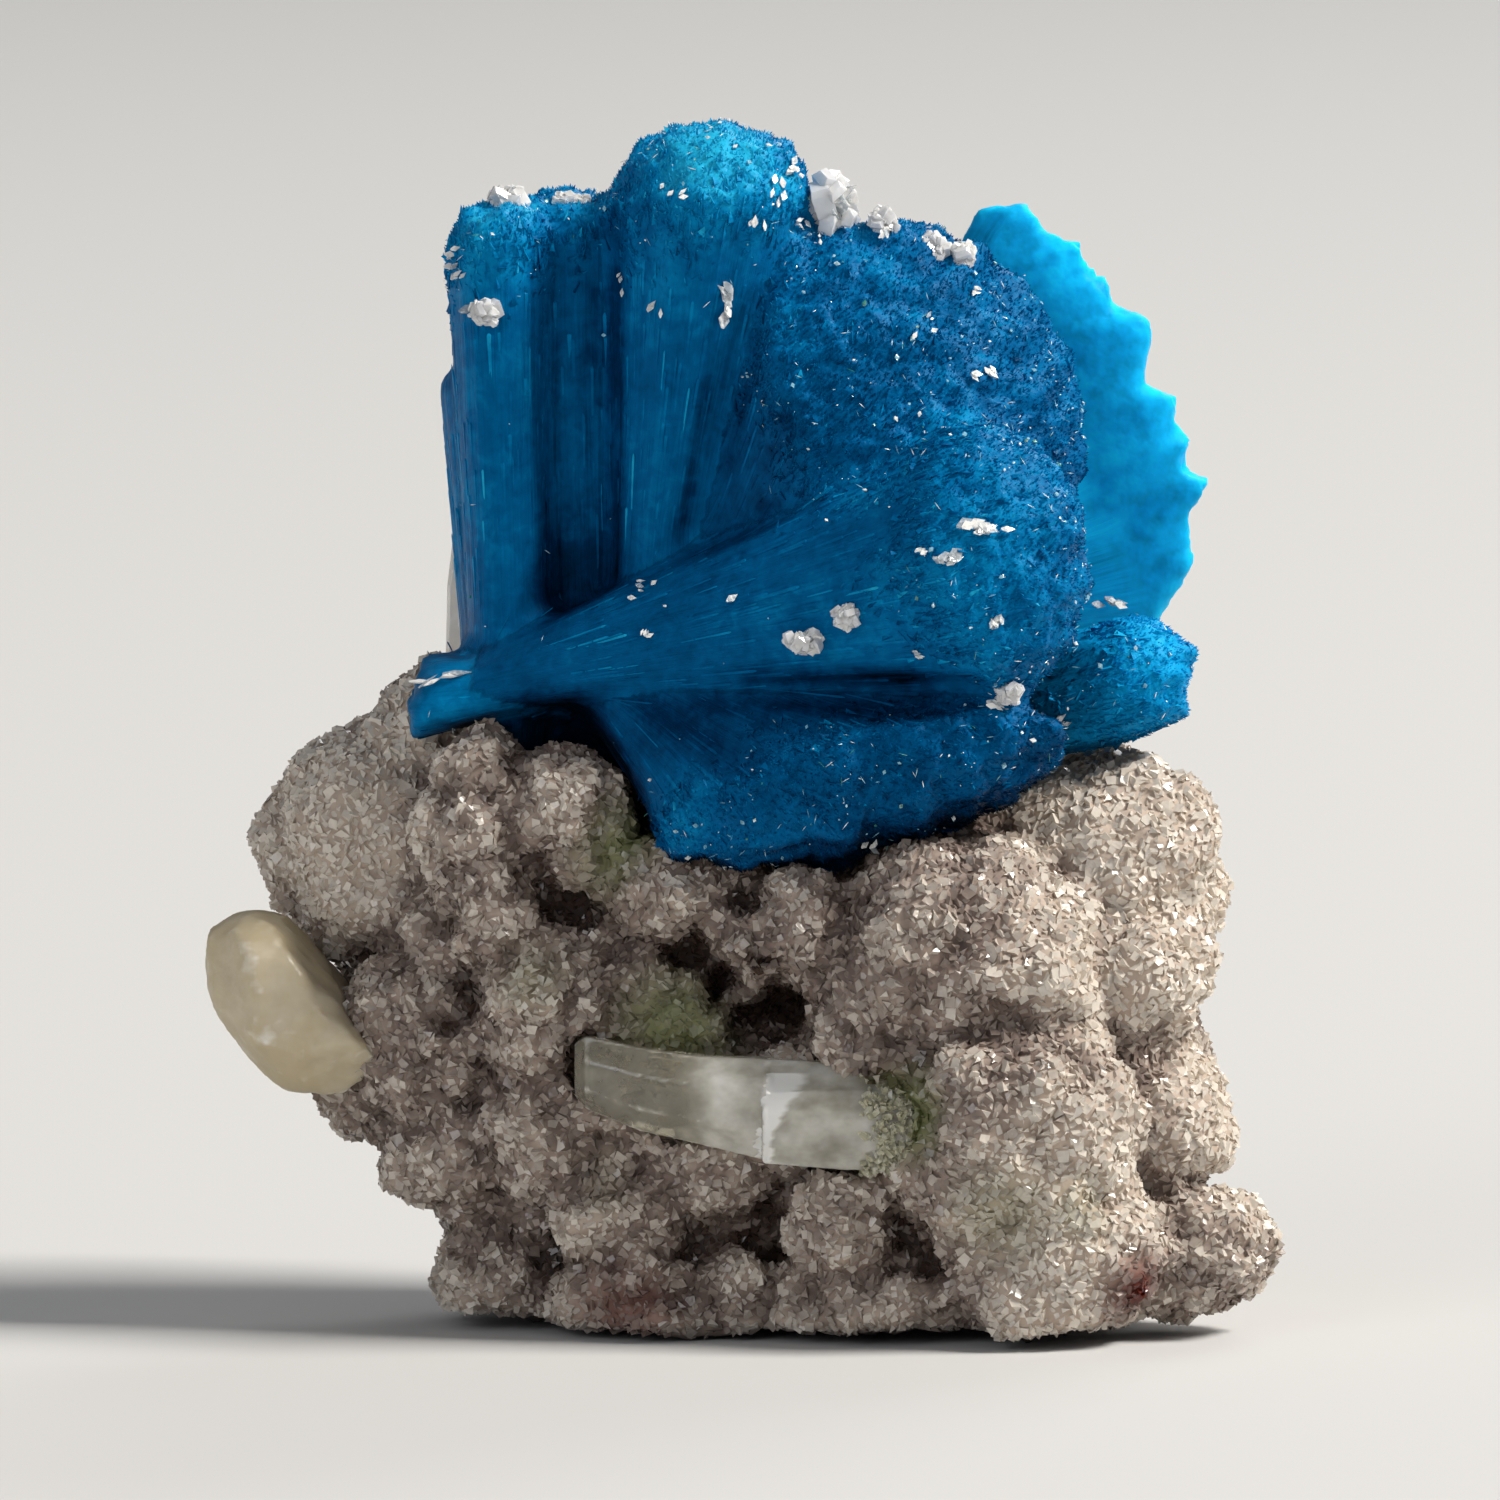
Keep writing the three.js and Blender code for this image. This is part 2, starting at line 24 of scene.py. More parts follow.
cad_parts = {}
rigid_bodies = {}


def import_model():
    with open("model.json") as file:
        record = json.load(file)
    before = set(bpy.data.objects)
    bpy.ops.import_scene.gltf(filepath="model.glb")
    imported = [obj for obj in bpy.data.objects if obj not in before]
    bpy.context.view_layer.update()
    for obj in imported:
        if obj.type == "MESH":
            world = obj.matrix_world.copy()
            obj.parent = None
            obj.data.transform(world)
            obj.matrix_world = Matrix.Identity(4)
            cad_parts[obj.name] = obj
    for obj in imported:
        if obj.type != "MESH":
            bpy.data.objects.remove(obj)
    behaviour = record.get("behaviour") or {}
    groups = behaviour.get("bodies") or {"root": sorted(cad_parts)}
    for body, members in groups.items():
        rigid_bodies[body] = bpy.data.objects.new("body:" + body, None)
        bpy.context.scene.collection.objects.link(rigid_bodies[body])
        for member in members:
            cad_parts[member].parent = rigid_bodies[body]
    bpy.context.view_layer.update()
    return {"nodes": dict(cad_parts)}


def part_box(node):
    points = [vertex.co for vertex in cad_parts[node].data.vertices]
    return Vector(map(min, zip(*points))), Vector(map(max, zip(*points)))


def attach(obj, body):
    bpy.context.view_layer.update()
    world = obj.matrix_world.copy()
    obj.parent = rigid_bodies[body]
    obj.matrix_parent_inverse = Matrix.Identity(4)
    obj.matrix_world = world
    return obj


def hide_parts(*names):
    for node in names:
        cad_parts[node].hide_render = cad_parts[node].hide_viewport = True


LOG = logging.getLogger("cavansite")
MM = 0.001
# From how far off the spray is looked at, to see what lies in front
AWAY = 60
GOLDEN_TURN = math.pi * (3 - math.sqrt(5))
Vec3 = tuple[float, float, float]
Adder = Callable[..., Node]
Step = tuple[str, dict[str, object]]
Marks = dict[str, np.ndarray]


def linear(colour: str) -> tuple[float, float, float, float]:
    """Turns an sRGB hex colour into linear light.

    Args:
        colour: The colour as "#rrggbb".

    Returns:
        Red, green, blue and an alpha of 1.
    """
    channels = [int(colour[i : i + 2], 16) / 255 for i in (1, 3, 5)]
    light = [c / 12.92 if c <= 0.04045 else ((c + 0.055) / 1.055) ** 2.4 for c in channels]
    return (light[0], light[1], light[2], 1.0)


def per_mm(size: float) -> float:
    """Gives the texture scale, on coordinates in metres, that repeats about every size mm."""
    return 1 / (size * MM)


def add_node(tree: NodeTree, kind: str, links: Mapping | Sequence = (), **settings: object) -> Node:
    """Adds a node to a shader or geometry tree.

    Args:
        tree: The tree that gets the node.
        kind: The node's bl_idname.
        links: For each input, by name or number or in order, what it gets: a socket, a node
            (its first output) or a constant.
        settings: Values of the node's own properties.

    Returns:
        The new node.
    """
    node = tree.nodes.new(kind)
    for key, value in settings.items():
        setattr(node, key, value)
    for key, value in links.items() if isinstance(links, Mapping) else enumerate(links):
        source = value.outputs[0] if isinstance(value, Node) else value
        if isinstance(source, NodeSocket):
            tree.links.new(source, node.inputs[key])
        else:
            node.inputs[key].default_value = source
    return node


def new_material(name: str) -> tuple[Material, Adder]:
    """Makes a material whose tree is empty.

    Args:
        name: What the surface is.

    Returns:
        The material, and add_node for its tree.
    """
    material = bpy.data.materials.new(name)
    material.use_nodes = True
    material.node_tree.nodes.clear()
    return material, partial(add_node, material.node_tree)


def new_geometry_tree(name: str, **inputs: str | float) -> tuple[NodeTree, Adder, Mapping[str, NodeSocket]]:
    """Makes a geometry tree with named inputs after its geometry.

    Args:
        name: What the tree makes.
        inputs: For each named input its default number, or else its socket type. An underscore
            in its name stands for a space.

    Returns:
        The tree, add_node for it, and its inputs.
    """
    tree = bpy.data.node_groups.new(name, "GeometryNodeTree")
    for way in ("INPUT", "OUTPUT"):
        tree.interface.new_socket("Geometry", in_out=way, socket_type="NodeSocketGeometry")
    for label, given in inputs.items():
        number = "NodeSocketInt" if isinstance(given, int) else "NodeSocketFloat"
        kind = given if isinstance(given, str) else number
        socket = tree.interface.new_socket(label.replace("_", " "), in_out="INPUT", socket_type=kind)
        if kind is number:
            socket.default_value = given
    return tree, partial(add_node, tree), tree.nodes.new("NodeGroupInput").outputs


def link_object(name: str, mesh: bpy.types.Mesh) -> Object:
    """Makes a linked object of a mesh.

    Args:
        name: The object's name.
        mesh: Its mesh.

    Returns:
        The object.
    """
    obj = bpy.data.objects.new(name, mesh)
    bpy.context.scene.collection.objects.link(obj)
    return obj


def mesh_object(name: str, corners: Iterable[Sequence[float]], faces: Iterable[Sequence[int]] = ()) -> Object:
    """Makes a linked object from corners and faces.

    Args:
        name: The object's name.
        corners: Its corners, in millimetres.
        faces: The numbers of each face's corners.

    Returns:
        The object.
    """
    mesh = bpy.data.meshes.new(name)
    mesh.from_pydata([tuple(c) for c in corners], [], [tuple(f) for f in faces])
    return link_object(name, mesh)


def reworked(work: Callable[[bmesh.types.BMesh], None] | None, *sources: Object, name: str = "") -> Object:
    """Works on the joined meshes of some objects.

    Args:
        work: What is done to the joined mesh, if anything is.
        sources: The objects. The first gets the result, unless there is a name.
        name: The name of a new linked object that gets the result.

    Returns:
        The object with the result.
    """
    shape = bmesh.new()
    for source in sources:
        shape.from_mesh(source.data)
    if work is not None:
        work(shape)
    result = link_object(name, bpy.data.meshes.new(name)) if name else sources[0]
    shape.to_mesh(result.data)
    shape.free()
    return result


def merged_copy(node: Object, name: str) -> Object:
    """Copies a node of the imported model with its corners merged, in millimetres.

    Args:
        node: The node's object, which stays as it is.
        name: The copy's name.

    Returns:
        The copy, linked to the scene.
    """

    def merge(shape: bmesh.types.BMesh) -> None:
        """Brings the mesh to millimetres and merges its corners."""
        bmesh.ops.scale(shape, vec=(1 / MM,) * 3, verts=shape.verts)
        bmesh.ops.remove_doubles(shape, verts=shape.verts, dist=1e-4)

    return reworked(merge, node, name=name)


def cut_flat(obj: Object, cuts: Iterable[tuple[Vec3, Vec3]]) -> None:
    """Cuts flat faces on an object.

    Args:
        obj: The object, a closed mesh.
        cuts: For each face a point on it and the way it looks, where all is taken off.
    """

    def cut(shape: bmesh.types.BMesh) -> None:
        """Cuts each face and fills the hole that it leaves.

        Args:
            shape: The mesh.
        """
        for at, way in cuts:
            everything = shape.verts[:] + shape.edges[:] + shape.faces[:]
            bmesh.ops.bisect_plane(shape, geom=everything, plane_co=at, plane_no=way, clear_outer=True)
            bmesh.ops.holes_fill(shape, edges=[e for e in shape.edges if e.is_boundary])

    reworked(cut, obj)


def surface_of(*objects: Object) -> BVHTree:
    """Gives the search tree of some objects' meshes together.

    Args:
        objects: The objects.

    Returns:
        The search tree, in the objects' own unit.
    """
    corners: list[Vector] = []
    faces: list[tuple[int, ...]] = []
    for obj in objects:
        first = len(corners)
        corners += [v.co.copy() for v in obj.data.vertices]
        faces += [tuple(v + first for v in p.vertices) for p in obj.data.polygons]
    return BVHTree.FromPolygons(corners, faces)


def settle(obj: Object) -> Object:
    """Turns an object's modifiers into its plain mesh.

    Args:
        obj: The object, which keeps its name.

    Returns:
        The same object with no modifiers.
    """
    shaped = obj.evaluated_get(bpy.context.evaluated_depsgraph_get())
    old, mesh = obj.data, bpy.data.meshes.new_from_object(shaped)
    obj.modifiers.clear()
    obj.data = mesh
    bpy.data.meshes.remove(old)
    mesh.name = obj.name
    return obj


def voxels(size: float) -> Step:
    """Gives the modifier that rebuilds a mesh from voxels of a size."""
    return "REMESH", {"mode": "VOXEL", "voxel_size": size}


def softening(rounds: int) -> Step:
    """Gives the modifier that softens a mesh."""
    return "SMOOTH", {"factor": 0.5, "iterations": rounds}


def swelling(by: float) -> Step:
    """Gives the modifier that moves a skin outwards."""
    return "DISPLACE", {"strength": by, "mid_level": 0.0}


def bevelled(width: float, angle: float) -> Step:
    """Gives the modifier that rounds edges sharper than an angle."""
    return "BEVEL", {"width": width, "segments": 3, "limit_method": "ANGLE", "angle_limit": angle}


def shape_by(obj: Object, *steps: Step) -> Object:
    """Runs modifiers on an object and keeps the result as its mesh.

    Args:
        obj: The object.
        steps: For each modifier its kind and its settings.

    Returns:
        The same object, reshaped.
    """
    for kind, settings in steps:
        modifier = obj.modifiers.new(kind.lower(), kind)
        for key, value in settings.items():
            setattr(modifier, key, value)
    return settle(obj)


def run_tree(obj: Object, tree: NodeTree, **values: object) -> Object:
    """Runs a geometry tree on an object and keeps the result as its mesh.

    Args:
        obj: The object that the tree works on.
        tree: The geometry tree.
        values: The tree's named inputs. An underscore in a name stands for a space.

    Returns:
        The same object with the tree's result.
    """
    modifier = obj.modifiers.new(tree.name, "NODES")
    modifier.node_group = tree
    for item in tree.interface.items_tree:
        label = item.name.replace(" ", "_")
        if item.in_out == "INPUT" and label in values:
            modifier[item.identifier] = values[label]
    return settle(obj)


def rows_of(items: Sequence[object], name: str, width: int = 3, kind: type = np.float32) -> np.ndarray:
    """Reads one property of all items of a collection.

    Args:
        items: The collection, such as a mesh's vertices.
        name: The property.
        width: How many numbers it has.
        kind: The numbers' type.

    Returns:
        A row of numbers for each item.
    """
    flat = np.zeros(len(items) * width, kind)
    items.foreach_get(name, flat)
    return flat.reshape(-1, width)


def corners_of(obj: Object) -> np.ndarray:
    """Gives an object's corners as rows of x, y and z."""
    return rows_of(obj.data.vertices, "co")


def normals_of(obj: Object) -> np.ndarray:
    """Gives the way that the surface looks at each of an object's corners."""
    return rows_of(obj.data.vertices, "normal")


def move_corners(obj: Object, corners: np.ndarray) -> None:
    """Puts an object's corners in other places."""
    obj.data.vertices.foreach_set("co", corners.astype(np.float32).ravel())


def bulging(obj: Object, rounds: int) -> np.ndarray:
    """Gives how far each corner stands out over its softened surroundings.

    Args:
        obj: The object.
        rounds: How often the surroundings are softened.

    Returns:
        A height for each corner, above 0 on an edge and below 0 in a hollow.
    """
    corners = corners_of(obj)
    count = len(corners)
    ends = rows_of(obj.data.edges, "vertices", 2, np.int32)
    ends = np.concatenate([ends, ends[:, ::-1]])
    around = np.maximum(np.bincount(ends[:, 0], minlength=count), 1)[:, None]
    calm = corners.astype(np.float64)
    for _ in range(rounds):
        total = np.stack([np.bincount(ends[:, 0], calm[ends[:, 1], k], count) for k in range(3)], 1)
        calm = 0.5 * calm + 0.5 * total / around
    return ((corners - calm) * normals_of(obj)).sum(1)


def copy_of(obj: Object, name: str) -> Object:
    """Copies an object and its mesh.

    Args:
        obj: The object.
        name: The copy's name.

    Returns:
        The copy, which isn't linked to the scene.
    """
    other = obj.copy()
    other.data = obj.data.copy()
    other.name = name
    return other


def drop(*objects: Object) -> None:
    """Removes helper objects with their meshes."""
    bpy.data.batch_remove([thing for obj in objects for thing in (obj, obj.data)])


def store(obj: Object, **marks: np.ndarray) -> None:
    """Stores marks, one number or vector for each corner of an object's mesh.

    Args:
        obj: The object.
        marks: The values of each named mark.
    """
    for name, values in marks.items():
        kind, part = ("FLOAT_VECTOR", "vector") if values.ndim == 2 else ("FLOAT", "value")
        layer = obj.data.attributes.new(name, kind, "POINT")
        layer.data.foreach_set(part, np.ascontiguousarray(values, np.float32).ravel())


def read_marks(obj: Object, name: str) -> np.ndarray:
    """Reads a stored mark of each corner.

    Args:
        obj: The object.
        name: The mark.

    Returns:
        Its numbers, or its vectors as rows.
    """
    layer = obj.data.attributes[name]
    vector = layer.data_type == "FLOAT_VECTOR"
    return rows_of(layer.data, "vector") if vector else rows_of(layer.data, "value", 1).ravel()


def finish_piece(
    obj: Object, replaced: Sequence[str] = (), material: Material | None = None
) -> Object:
    """Args:
        obj: The piece, in millimetres.
        replaced: The nodes that it stands for.
        material: Its material, if the mesh has none yet.

    Returns:
        The finished piece.
    """
    obj.data.transform(Matrix.Scale(MM, 4))
    if material is not None:
        obj.data.materials.clear()
        obj.data.materials.append(material)
    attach(obj, "root")
    if replaced:
        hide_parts(*replaced)
    LOG.info("%s: %d faces", obj.name, len(obj.data.polygons))
    return obj


def unit(vectors: np.ndarray) -> np.ndarray:
    """Gives vectors, one a row, at length 1."""
    return vectors / np.maximum(np.linalg.norm(vectors, axis=-1, keepdims=True), 1e-9)


class Tip(Enum):
    """How a small crystal ends."""

    POINT = "point"
    ROOF = "roof"


@dataclass(frozen=True)
class CrystalForm:
    """The form of one small crystal, one unit long along +Z.

    rows gives height, half-width and half-thickness from the foot to the shoulder. A crystal
    with a roof has four sides.
    """

    name: str
    rows: tuple[Vec3, ...]
    tip: Tip = Tip.POINT
    ridge: float = 0.0
    sides: int = 4

    def build(self) -> Object:
        """Builds the crystal.

        Returns:
            A closed mesh that knows the height of each corner as along.
        """
        count = self.sides
        turns = [math.tau * (k + 0.5) / count - math.pi for k in range(count)]
        ring = [(math.sqrt(2) * math.cos(t), math.sqrt(2) * math.sin(t)) for t in turns]
        corners = [(wide * x, thick * y, z) for z, wide, thick in self.rows for x, y in ring]
        faces: list[tuple[int, ...]] = [tuple(range(count))[::-1]]
        top = count * len(self.rows) - count
        for low in range(0, top, count):
            for k in range(count):
                n = (k + 1) % count
                faces.append((low + k, low + n, low + count + n, low + count + k))
        end = top + count
        if self.tip is Tip.POINT:
            corners.append((0.0, 0.0, 1.0))
            faces += [(top + k, top + (k + 1) % count, end) for k in range(count)]
        else:
            corners += [(-self.ridge, 0.0, 1.0), (self.ridge, 0.0, 1.0)]
            faces += [(top, top + 1, end + 1, end), (top + 1, top + 2, end + 1)]
            faces += [(top + 2, top + 3, end, end + 1), (top + 3, top, end)]
        obj = mesh_object(self.name, corners, faces)
        store(obj, along=np.array([c[2] for c in corners]))
        return obj


NEEDLE = CrystalForm("needle", ((0.0, 0.4, 0.4), (0.93, 0.5, 0.5)), sides=3)
SPIKE = CrystalForm("spike", ((0.0, 0.5, 0.5),), sides=3)
LATH = CrystalForm("lath", ((0.0, 0.15, 0.1), (0.965, 0.5, 0.5)), Tip.ROOF, 0.22)
GRAIN = CrystalForm("grain", ((0.0, 0.5, 0.5),), Tip.ROOF, 0.36)
BLOCK = CrystalForm("block", ((0.0, 0.42, 0.42), (0.2, 0.5, 0.5), (0.84, 0.5, 0.46)), Tip.ROOF, 0.3)
KITE = CrystalForm("kite", ((0.0, 0.12, 0.5), (0.42, 0.5, 0.5)))


def cleft_tree(rays: int, lift: float = 0.04, spread: float = 0.97, blurs: int = 4) -> NodeTree:
    """Builds the tree that marks how deep in a cleft each place of a surface lies.

    Args:
        rays: How many directions it looks in from each place.
        lift: How far over the surface it looks from.
        spread: How wide the rays fan out round the surface's own direction.
        blurs: How often the marks are softened.

    Returns:
        The geometry tree, with the inputs Around and Reach. It stores cleft, from 0 in the open
        to nearly 1 in a deep gap, which sets how dark the painted shade there is.
    """
    tree, add, given = new_geometry_tree("clefts", Around="NodeSocketObject", Reach=2.0)
    place, normal = add("GeometryNodeInputPosition"), add("GeometryNodeInputNormal")
    around = add("GeometryNodeObjectInfo", {"Object": given["Around"]})
    both = add("GeometryNodeJoinGeometry", (given["Geometry"],))
    tree.links.new(around.outputs["Geometry"], both.inputs[0])
    lifted = add("ShaderNodeVectorMath", (normal, (lift,) * 3, place), operation="MULTIPLY_ADD")
    total: Node | float = 0.0
    for k in range(rays):
        z = 1 - (2 * k + 1) / rays
        flat, turn = math.sqrt(1 - z * z), k * GOLDEN_TURN
        fan = (spread * flat * math.cos(turn), spread * flat * math.sin(turn), spread * z)
        aim = add("ShaderNodeVectorMath", (normal, fan), operation="ADD")
        ends = {"Source Position": lifted, "Ray Direction": aim, "Ray Length": given["Reach"]}
        ray = add("GeometryNodeRaycast", {"Target Geometry": both, **ends})
        total = add("ShaderNodeMath", (ray.outputs["Is Hit"], 1 / rays, total), operation="MULTIPLY_ADD")
    soft = add("GeometryNodeBlurAttribute", {"Value": total, "Iterations": blurs})
    marked = {"Geometry": given["Geometry"], "Name": "cleft", "Value": soft}
    add("NodeGroupOutput", (add("GeometryNodeStoreNamedAttribute", marked),))
    return tree


def crystals_on(
    add: Adder, given: Mapping[str, NodeSocket], spots: object, way: Node, flat: Node, girth: Node
) -> Node:
    """Adds the nodes that stand a tree's Crystal on points, with its Coat.

    Args:
        add: add_node for the tree.
        given: The tree's inputs.
        spots: The points.
        way: Each crystal's axis.
        flat: Where its width points.
        girth: Its width, thickness and length.

    Returns:
        The node whose output is the crystals, as one mesh.
    """
    stand = add("FunctionNodeAlignRotationToVector", {"Vector": way}, axis="Z")
    turn = {"Rotation": stand, "Vector": flat}
    turned = add("FunctionNodeAlignRotationToVector", turn, axis="X", pivot_axis="Z")
    shape = add("GeometryNodeObjectInfo", {"Object": given["Crystal"]}).outputs["Geometry"]
    instances = {"Points": spots, "Instance": shape, "Rotation": turned, "Scale": girth}
    real = add("GeometryNodeRealizeInstances", (add("GeometryNodeInstanceOnPoints", instances),))
    return add("GeometryNodeSetMaterial", {"Geometry": real, "Material": given["Coat"]})


def crystal_tree() -> NodeTree:
    """Builds the tree that puts one crystal on each corner of a mesh.

    Each corner carries way (the crystal's axis), flat (where its width points) and girth (its
    width, thickness and length).

    Returns:
        The geometry tree, with the inputs Crystal and Coat.
    """
    tree, add, given = new_geometry_tree(
        "crystals on corners", Crystal="NodeSocketObject", Coat="NodeSocketMaterial"
    )
    names = ("way", "flat", "girth")
    read = [add("GeometryNodeInputNamedAttribute", (name,), data_type="FLOAT_VECTOR") for name in names]
    end = crystals_on(add, given, given["Geometry"], *read)
    for name in names:
        end = add("GeometryNodeRemoveAttribute", {"Geometry": end, "Name": name})
    add("NodeGroupOutput", (end,))
    return tree


NOISE = ("Vector", "Scale", "Detail", "Roughness", "Distortion")


def set_stops(ramp: Node, *stops: tuple[float, str]) -> NodeSocket:
    """Sets the stops of a colour ramp.

    Args:
        ramp: The colour ramp's node.
        stops: Place and colour of each stop, from low to high.

    Returns:
        The ramp's colour.
    """
    steps = ramp.color_ramp.elements
    for step, (place, colour) in zip(steps, (stops[0], stops[-1])):
        step.position, step.color = place, linear(colour)
    for place, colour in stops[1:-1]:
        steps.new(place).color = linear(colour)
    return ramp.outputs["Color"]


@dataclass(frozen=True)
class CavansiteFinish:
    """Cavansite, a translucent vanadium silicate in silky needles.

    Deep blue in the body and greener at the tips, with a silky lustre. Its darkest colour is a
    painted shade, nearly black, in the clefts, and its pale colour a painted glow of the backlit
    crystal.
    """

    name: str = "cavansite_needles"
    # The darkest colour, cleft, is the painted shade of the deepest clefts
    cleft: str = "#000d1d"
    deep: str = "#00345f"
    body: str = "#006098"
    light: str = "#0688c0"
    tip: str = "#24b2dc"
    # The levels at which these five colours lie
    levels: tuple[float, ...] = (0.0, 0.28, 0.56, 0.78, 1.0)
    # The colour of the backlit crystal, brightened by pale_light as a painted glow
    pale: str = "#10b2ee"
    gloss: str = "#2c9fdc"
    lustre: float = 0.14
    ior: float = 1.55
    roughness: float = 0.38
    patch: float = 1.9
    mottle: float = 0.42
    fuzz: float = 0.13
    patch_weight: float = 0.45
    mottle_weight: float = 0.4
    fibre: float = 0.2
    pale_light: float = 2.0
    relief: float = 0.7
    relief_depth: float = 0.05
    glow: float = 0.0
    glow_depth: float = 1.4

    def material(self) -> Material:
        """Builds the material, which reads the marks along, low, high, pale, cap and grain.

        Returns:
            The material.
        """
        material, add = new_material(self.name)
        along, low, high, pale, cap = (
            add("ShaderNodeAttribute", attribute_name=name).outputs["Fac"]
            for name in ("along", "low", "high", "pale", "cap")
        )
        grain = add("ShaderNodeAttribute", attribute_name="grain").outputs["Vector"]
        place = add("ShaderNodeTexCoord").outputs["Object"]
        patch, mottle, fuzz, streak = (
            add("ShaderNodeTexNoise", dict(zip(NOISE, values)))
            for values in (
                (place, per_mm(self.patch), 4.0, 0.65),
                (place, per_mm(self.mottle), 3.0, 0.6, 0.6),
                (place, per_mm(self.fuzz), 2.0),
                (grain, 1.0, 3.0, 0.65),
            )
        )
        texture = add("ShaderNodeMix", {0: cap, 2: streak, 3: fuzz}, data_type="FLOAT")
        level = add("ShaderNodeMapRange", (along, 0.0, 1.0, low, high), clamp=False)
        shares = ((patch, self.patch_weight), (mottle, self.mottle_weight), (texture, self.fibre))
        for pattern, share in shares:
            centred = add("ShaderNodeMath", (pattern, share, -0.5 * share), operation="MULTIPLY_ADD")
            level = add("ShaderNodeMath", (level, centred), operation="ADD")
        colours = (self.cleft, self.deep, self.body, self.light, self.tip)
        body = set_stops(add("ShaderNodeValToRGB", (level,)), *zip(self.levels, colours))
        # Painted glow: the pale backlit crystal gets its pale colour, brightened with its level
        light = add("ShaderNodeMath", (level, self.pale_light), operation="MULTIPLY")
        backed = add("ShaderNodeVectorMath", {0: linear(self.pale)[:3], "Scale": light}, operation="SCALE")
        colour = add("ShaderNodeMix", {0: pale, 6: body, 7: backed}, data_type="RGBA").outputs[2]
        rough = (texture, 0.3, 0.7, self.roughness - 0.08, self.roughness + 0.12)
        bump = {"Height": texture, "Strength": self.relief, "Distance": self.relief_depth * MM}
        surface = {
            "Base Color": colour,
            "Roughness": add("ShaderNodeMapRange", rough),
            "IOR": self.ior,
            "Specular IOR Level": self.lustre,
            "Specular Tint": linear(self.gloss),
            "Subsurface Weight": self.glow,
            "Subsurface Radius": (0.25, 0.7, 1.0),
            "Subsurface Scale": self.glow_depth * MM,
            "Normal": add("ShaderNodeBump", bump),
        }
        add("ShaderNodeOutputMaterial", (add("ShaderNodeBsdfPrincipled", surface),))
        return material


@dataclass(frozen=True)
class CrustFinish:
    """The drusy zeolite crust and the rock under it.

    Pale translucent grains over a pinkish-grey rock, with a little green and rust, a painted
    shade, brown, in the clefts and nooks, and painted highlights where the crust catches the light;
    the broken back and base are bare dark basalt with filled gas holes.
    """

    name: str
    # From light to dark; the darkest, cleft, is the colour of the painted shade in the clefts
    light: str
    middle: str
    cleft: str
    roughness: float
    glassy: float = 0.0
    green: str = "#78824a"
    rust: str = "#642317"
    basalt: str = "#3a3432"
    ash: str = "#6d625c"
    ior: float = 1.5
    pore: float = 1.6
    patch: float = 3.4
    grit: float = 0.3
    patch_weight: float = 0.5
    grit_weight: float = 0.35
    tone_weight: float = 0.18
    balance: float = -0.42
    relief: float = 0.5
    relief_depth: float = 0.08

    def material(self) -> Material:
        """Builds the material, which reads the crust's painted shade and highlights, and its broken,
        green, rust and tone.

        Returns:
            The material.
        """
        material, add = new_material(self.name)
        nook, broken, green, rust, tone = (
            add("ShaderNodeAttribute", attribute_name=name).outputs["Fac"]
            for name in ("nook", "broken", "green", "rust", "tone")
        )
        place = add("ShaderNodeTexCoord").outputs["Object"]
        patch, grit = (
            add("ShaderNodeTexNoise", dict(zip(NOISE, values)))
            for values in ((place, per_mm(self.patch), 4.0, 0.6), (place, per_mm(self.grit), 2.0))
        )
        level = add("ShaderNodeMath", (grit, self.grit_weight, self.balance), operation="MULTIPLY_ADD")
        level = add("ShaderNodeMath", (patch, self.patch_weight, level), operation="MULTIPLY_ADD")
        # Painted shade in nooks and clefts, and painted highlights where the mark is below 0
        level = add("ShaderNodeMath", (level, nook), operation="SUBTRACT")
        level = add("ShaderNodeMath", (tone, self.tone_weight, level), operation="MULTIPLY_ADD")
        level = add("ShaderNodeMath", (level, 0.5), operation="ADD")
        stops = ((0.1, self.cleft), (0.5, self.middle), (0.9, self.light))
        colour = set_stops(add("ShaderNodeValToRGB", (level,)), *stops)
        cells = add("ShaderNodeTexVoronoi", {"Vector": place, "Scale": per_mm(self.pore)})
        filled = add("ShaderNodeMapRange", (cells, 0.1, 0.2, 1.0, 0.0))
        bare = linear(self.basalt)
        for mask, tint in ((grit, linear(self.ash)), (filled, linear(self.middle))):
            bare = add("ShaderNodeMix", {0: mask, 6: bare, 7: tint}, data_type="RGBA").outputs[2]
        for mask, tint in ((green, linear(self.green)), (rust, linear(self.rust)), (broken, bare)):
            colour = add("ShaderNodeMix", {0: mask, 6: colour, 7: tint}, data_type="RGBA").outputs[2]
        bump = {"Height": grit, "Strength": self.relief, "Distance": self.relief_depth * MM}
        surface = {
            "Base Color": colour,
            "Roughness": self.roughness,
            "IOR": self.ior,
            "Transmission Weight": self.glassy,
            "Normal": add("ShaderNodeBump", bump),
        }
        add("ShaderNodeOutputMaterial", (add("ShaderNodeBsdfPrincipled", surface),))
        return material


